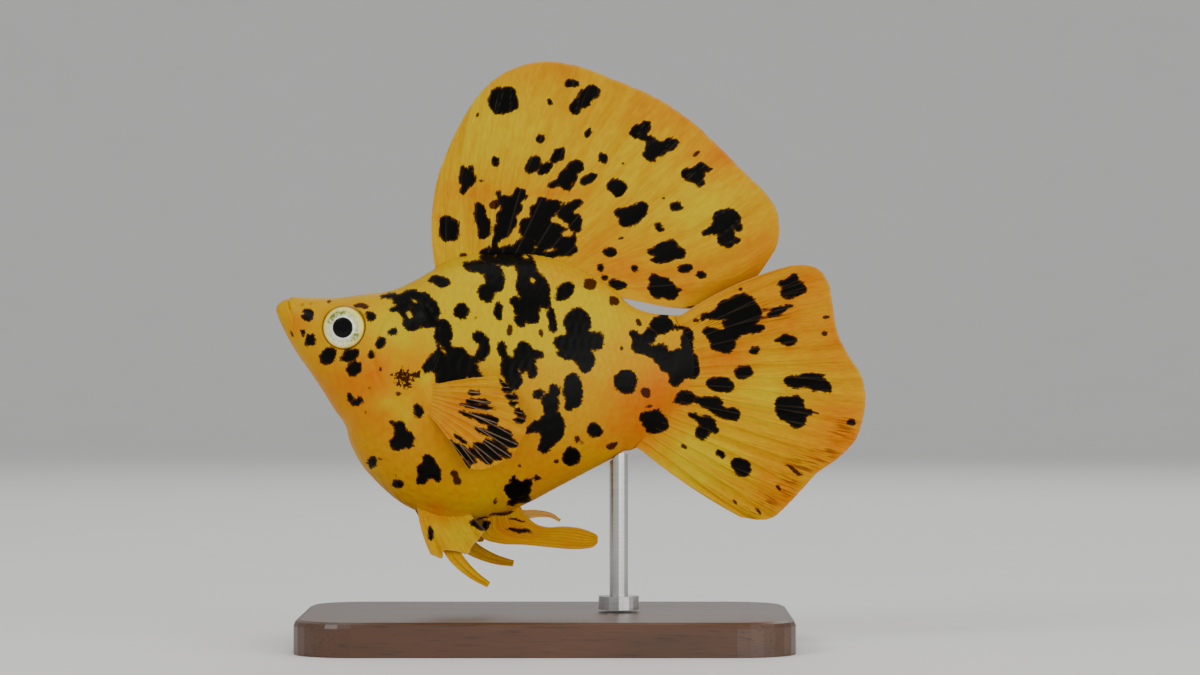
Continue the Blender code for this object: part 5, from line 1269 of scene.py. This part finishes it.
def pale_floor():
    """A matt paper sweep, faintly mottled: flat under the model and curved up far behind it, as a
    quarter circle (a + R sin w, R - R cos w) between two straights."""
    made, tree, sockets = new_finish("pale_paper", {"Roughness": 0.85})
    place = node(tree, "TexCoord", "Object")
    # Clouds of paper fibre, 25 mm wide
    mottle = node(tree, "TexNoise", "Fac", {"Vector": place, "Scale": 40.0, "Detail": 3.0})
    colour = node(tree, "Mix", 2, {
        0: mottle, 6: linear("EDECE9"), 7: linear("F2F1EE"),
    }, data_type="RGBA")
    tree.links.new(colour, sockets["Base Color"])
    turn = np.linspace(0.0, math.pi / 2, 25)
    curve = SWEEP_FLAT + SWEEP_RADIUS * np.sin(turn)
    depth = np.concatenate([[-SWEEP_FRONT], curve, [SWEEP_FLAT + SWEEP_RADIUS]])
    height = np.concatenate([[0.0], SWEEP_RADIUS - SWEEP_RADIUS * np.cos(turn), [SWEEP_HIGH]])
    left = np.stack([np.full_like(depth, -SWEEP_SIDE), depth, height], axis=-1)
    points = np.concatenate([left, left * (-1, 1, 1)])
    k = np.arange(len(depth) - 1)
    quads = np.stack([k, len(depth) + k, len(depth) + k + 1, k + 1], axis=-1)
    mesh = bpy.data.meshes.new("floor")
    mesh.from_pydata(points.tolist(), [], quads.tolist())
    mesh.shade_smooth()
    mesh.materials.append(made)
    floor = bpy.data.objects.new("floor", mesh)
    bpy.context.scene.collection.objects.link(floor)


def aim(lamp, target):
    """Turns a lamp so that its -Z axis points from its place to the target, in metres."""
    x, y, z = (b - a for a, b in zip(lamp.location, target))
    lamp.rotation_euler = (math.atan2(math.hypot(x, y), -z), 0.0, math.atan2(-x, y))


def lights_and_camera():
    """Large soft lamps round the model, a pale room and the camera where the photo was taken. Each
    lamp has a name, a place and a size in metres and a power in watts."""
    for name, place, size, power in (
        ("key_lamp", (-0.35, -0.38, 0.36), 0.2, 0.92),
        ("low_lamp", (0.16, -0.38, 0.02), 0.2, 0.42),
        ("fill_lamp", (0.42, -0.36, 0.14), 0.4, 1.15),
        ("back_lamp", (0.1, 0.5, 0.4), 0.4, 0.7),
        ("top_lamp", (0.0, -0.1, 0.7), 0.5, 1.3),
    ):
        lamp = bpy.data.lights.new(name, "AREA")
        lamp.size = size
        lamp.energy = power
        made = bpy.data.objects.new(name, lamp)
        bpy.context.scene.collection.objects.link(made)
        made.location = place
        aim(made, MODEL_MIDDLE)
    world = bpy.data.worlds.new("pale_room")
    world.use_nodes = True
    world.node_tree.nodes["Background"].inputs["Color"].default_value = linear("E6E8EA")
    world.node_tree.nodes["Background"].inputs["Strength"].default_value = 0.56
    bpy.context.scene.world = world
    data = bpy.data.cameras.new("camera")
    data.lens = CAMERA_LENS
    data.sensor_width = 36.0
    data.clip_start = 0.01
    camera = bpy.data.objects.new("camera", data)
    camera.location = CAMERA_AT
    camera.rotation_euler = (math.radians(90), 0.0, 0.0)
    bpy.context.scene.collection.objects.link(camera)
    bpy.context.scene.camera = camera


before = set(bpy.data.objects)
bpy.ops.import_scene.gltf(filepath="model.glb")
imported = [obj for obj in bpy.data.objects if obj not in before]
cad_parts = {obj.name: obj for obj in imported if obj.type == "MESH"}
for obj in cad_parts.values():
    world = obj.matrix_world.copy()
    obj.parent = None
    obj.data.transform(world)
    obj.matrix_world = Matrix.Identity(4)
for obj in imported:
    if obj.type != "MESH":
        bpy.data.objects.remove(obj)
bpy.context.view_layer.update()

lights_and_camera()
pale_floor()
dress(body_skin(molly_skin()), "skin", "head", "gill_cover_left", "gill_cover_right", "torso", "tail_stalk")
membrane = molly_fin_membrane()
dorsal_fin(membrane)
caudal_fin(membrane)
anal_fin(membrane)
pectoral_fins(membrane)
pelvic_fins(membrane)
eyes(molly_eye())
for name, finish in (("stand_base", stained_walnut()), ("stand_rod", brushed_steel())):
    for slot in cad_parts[name].material_slots:
        slot.material = finish
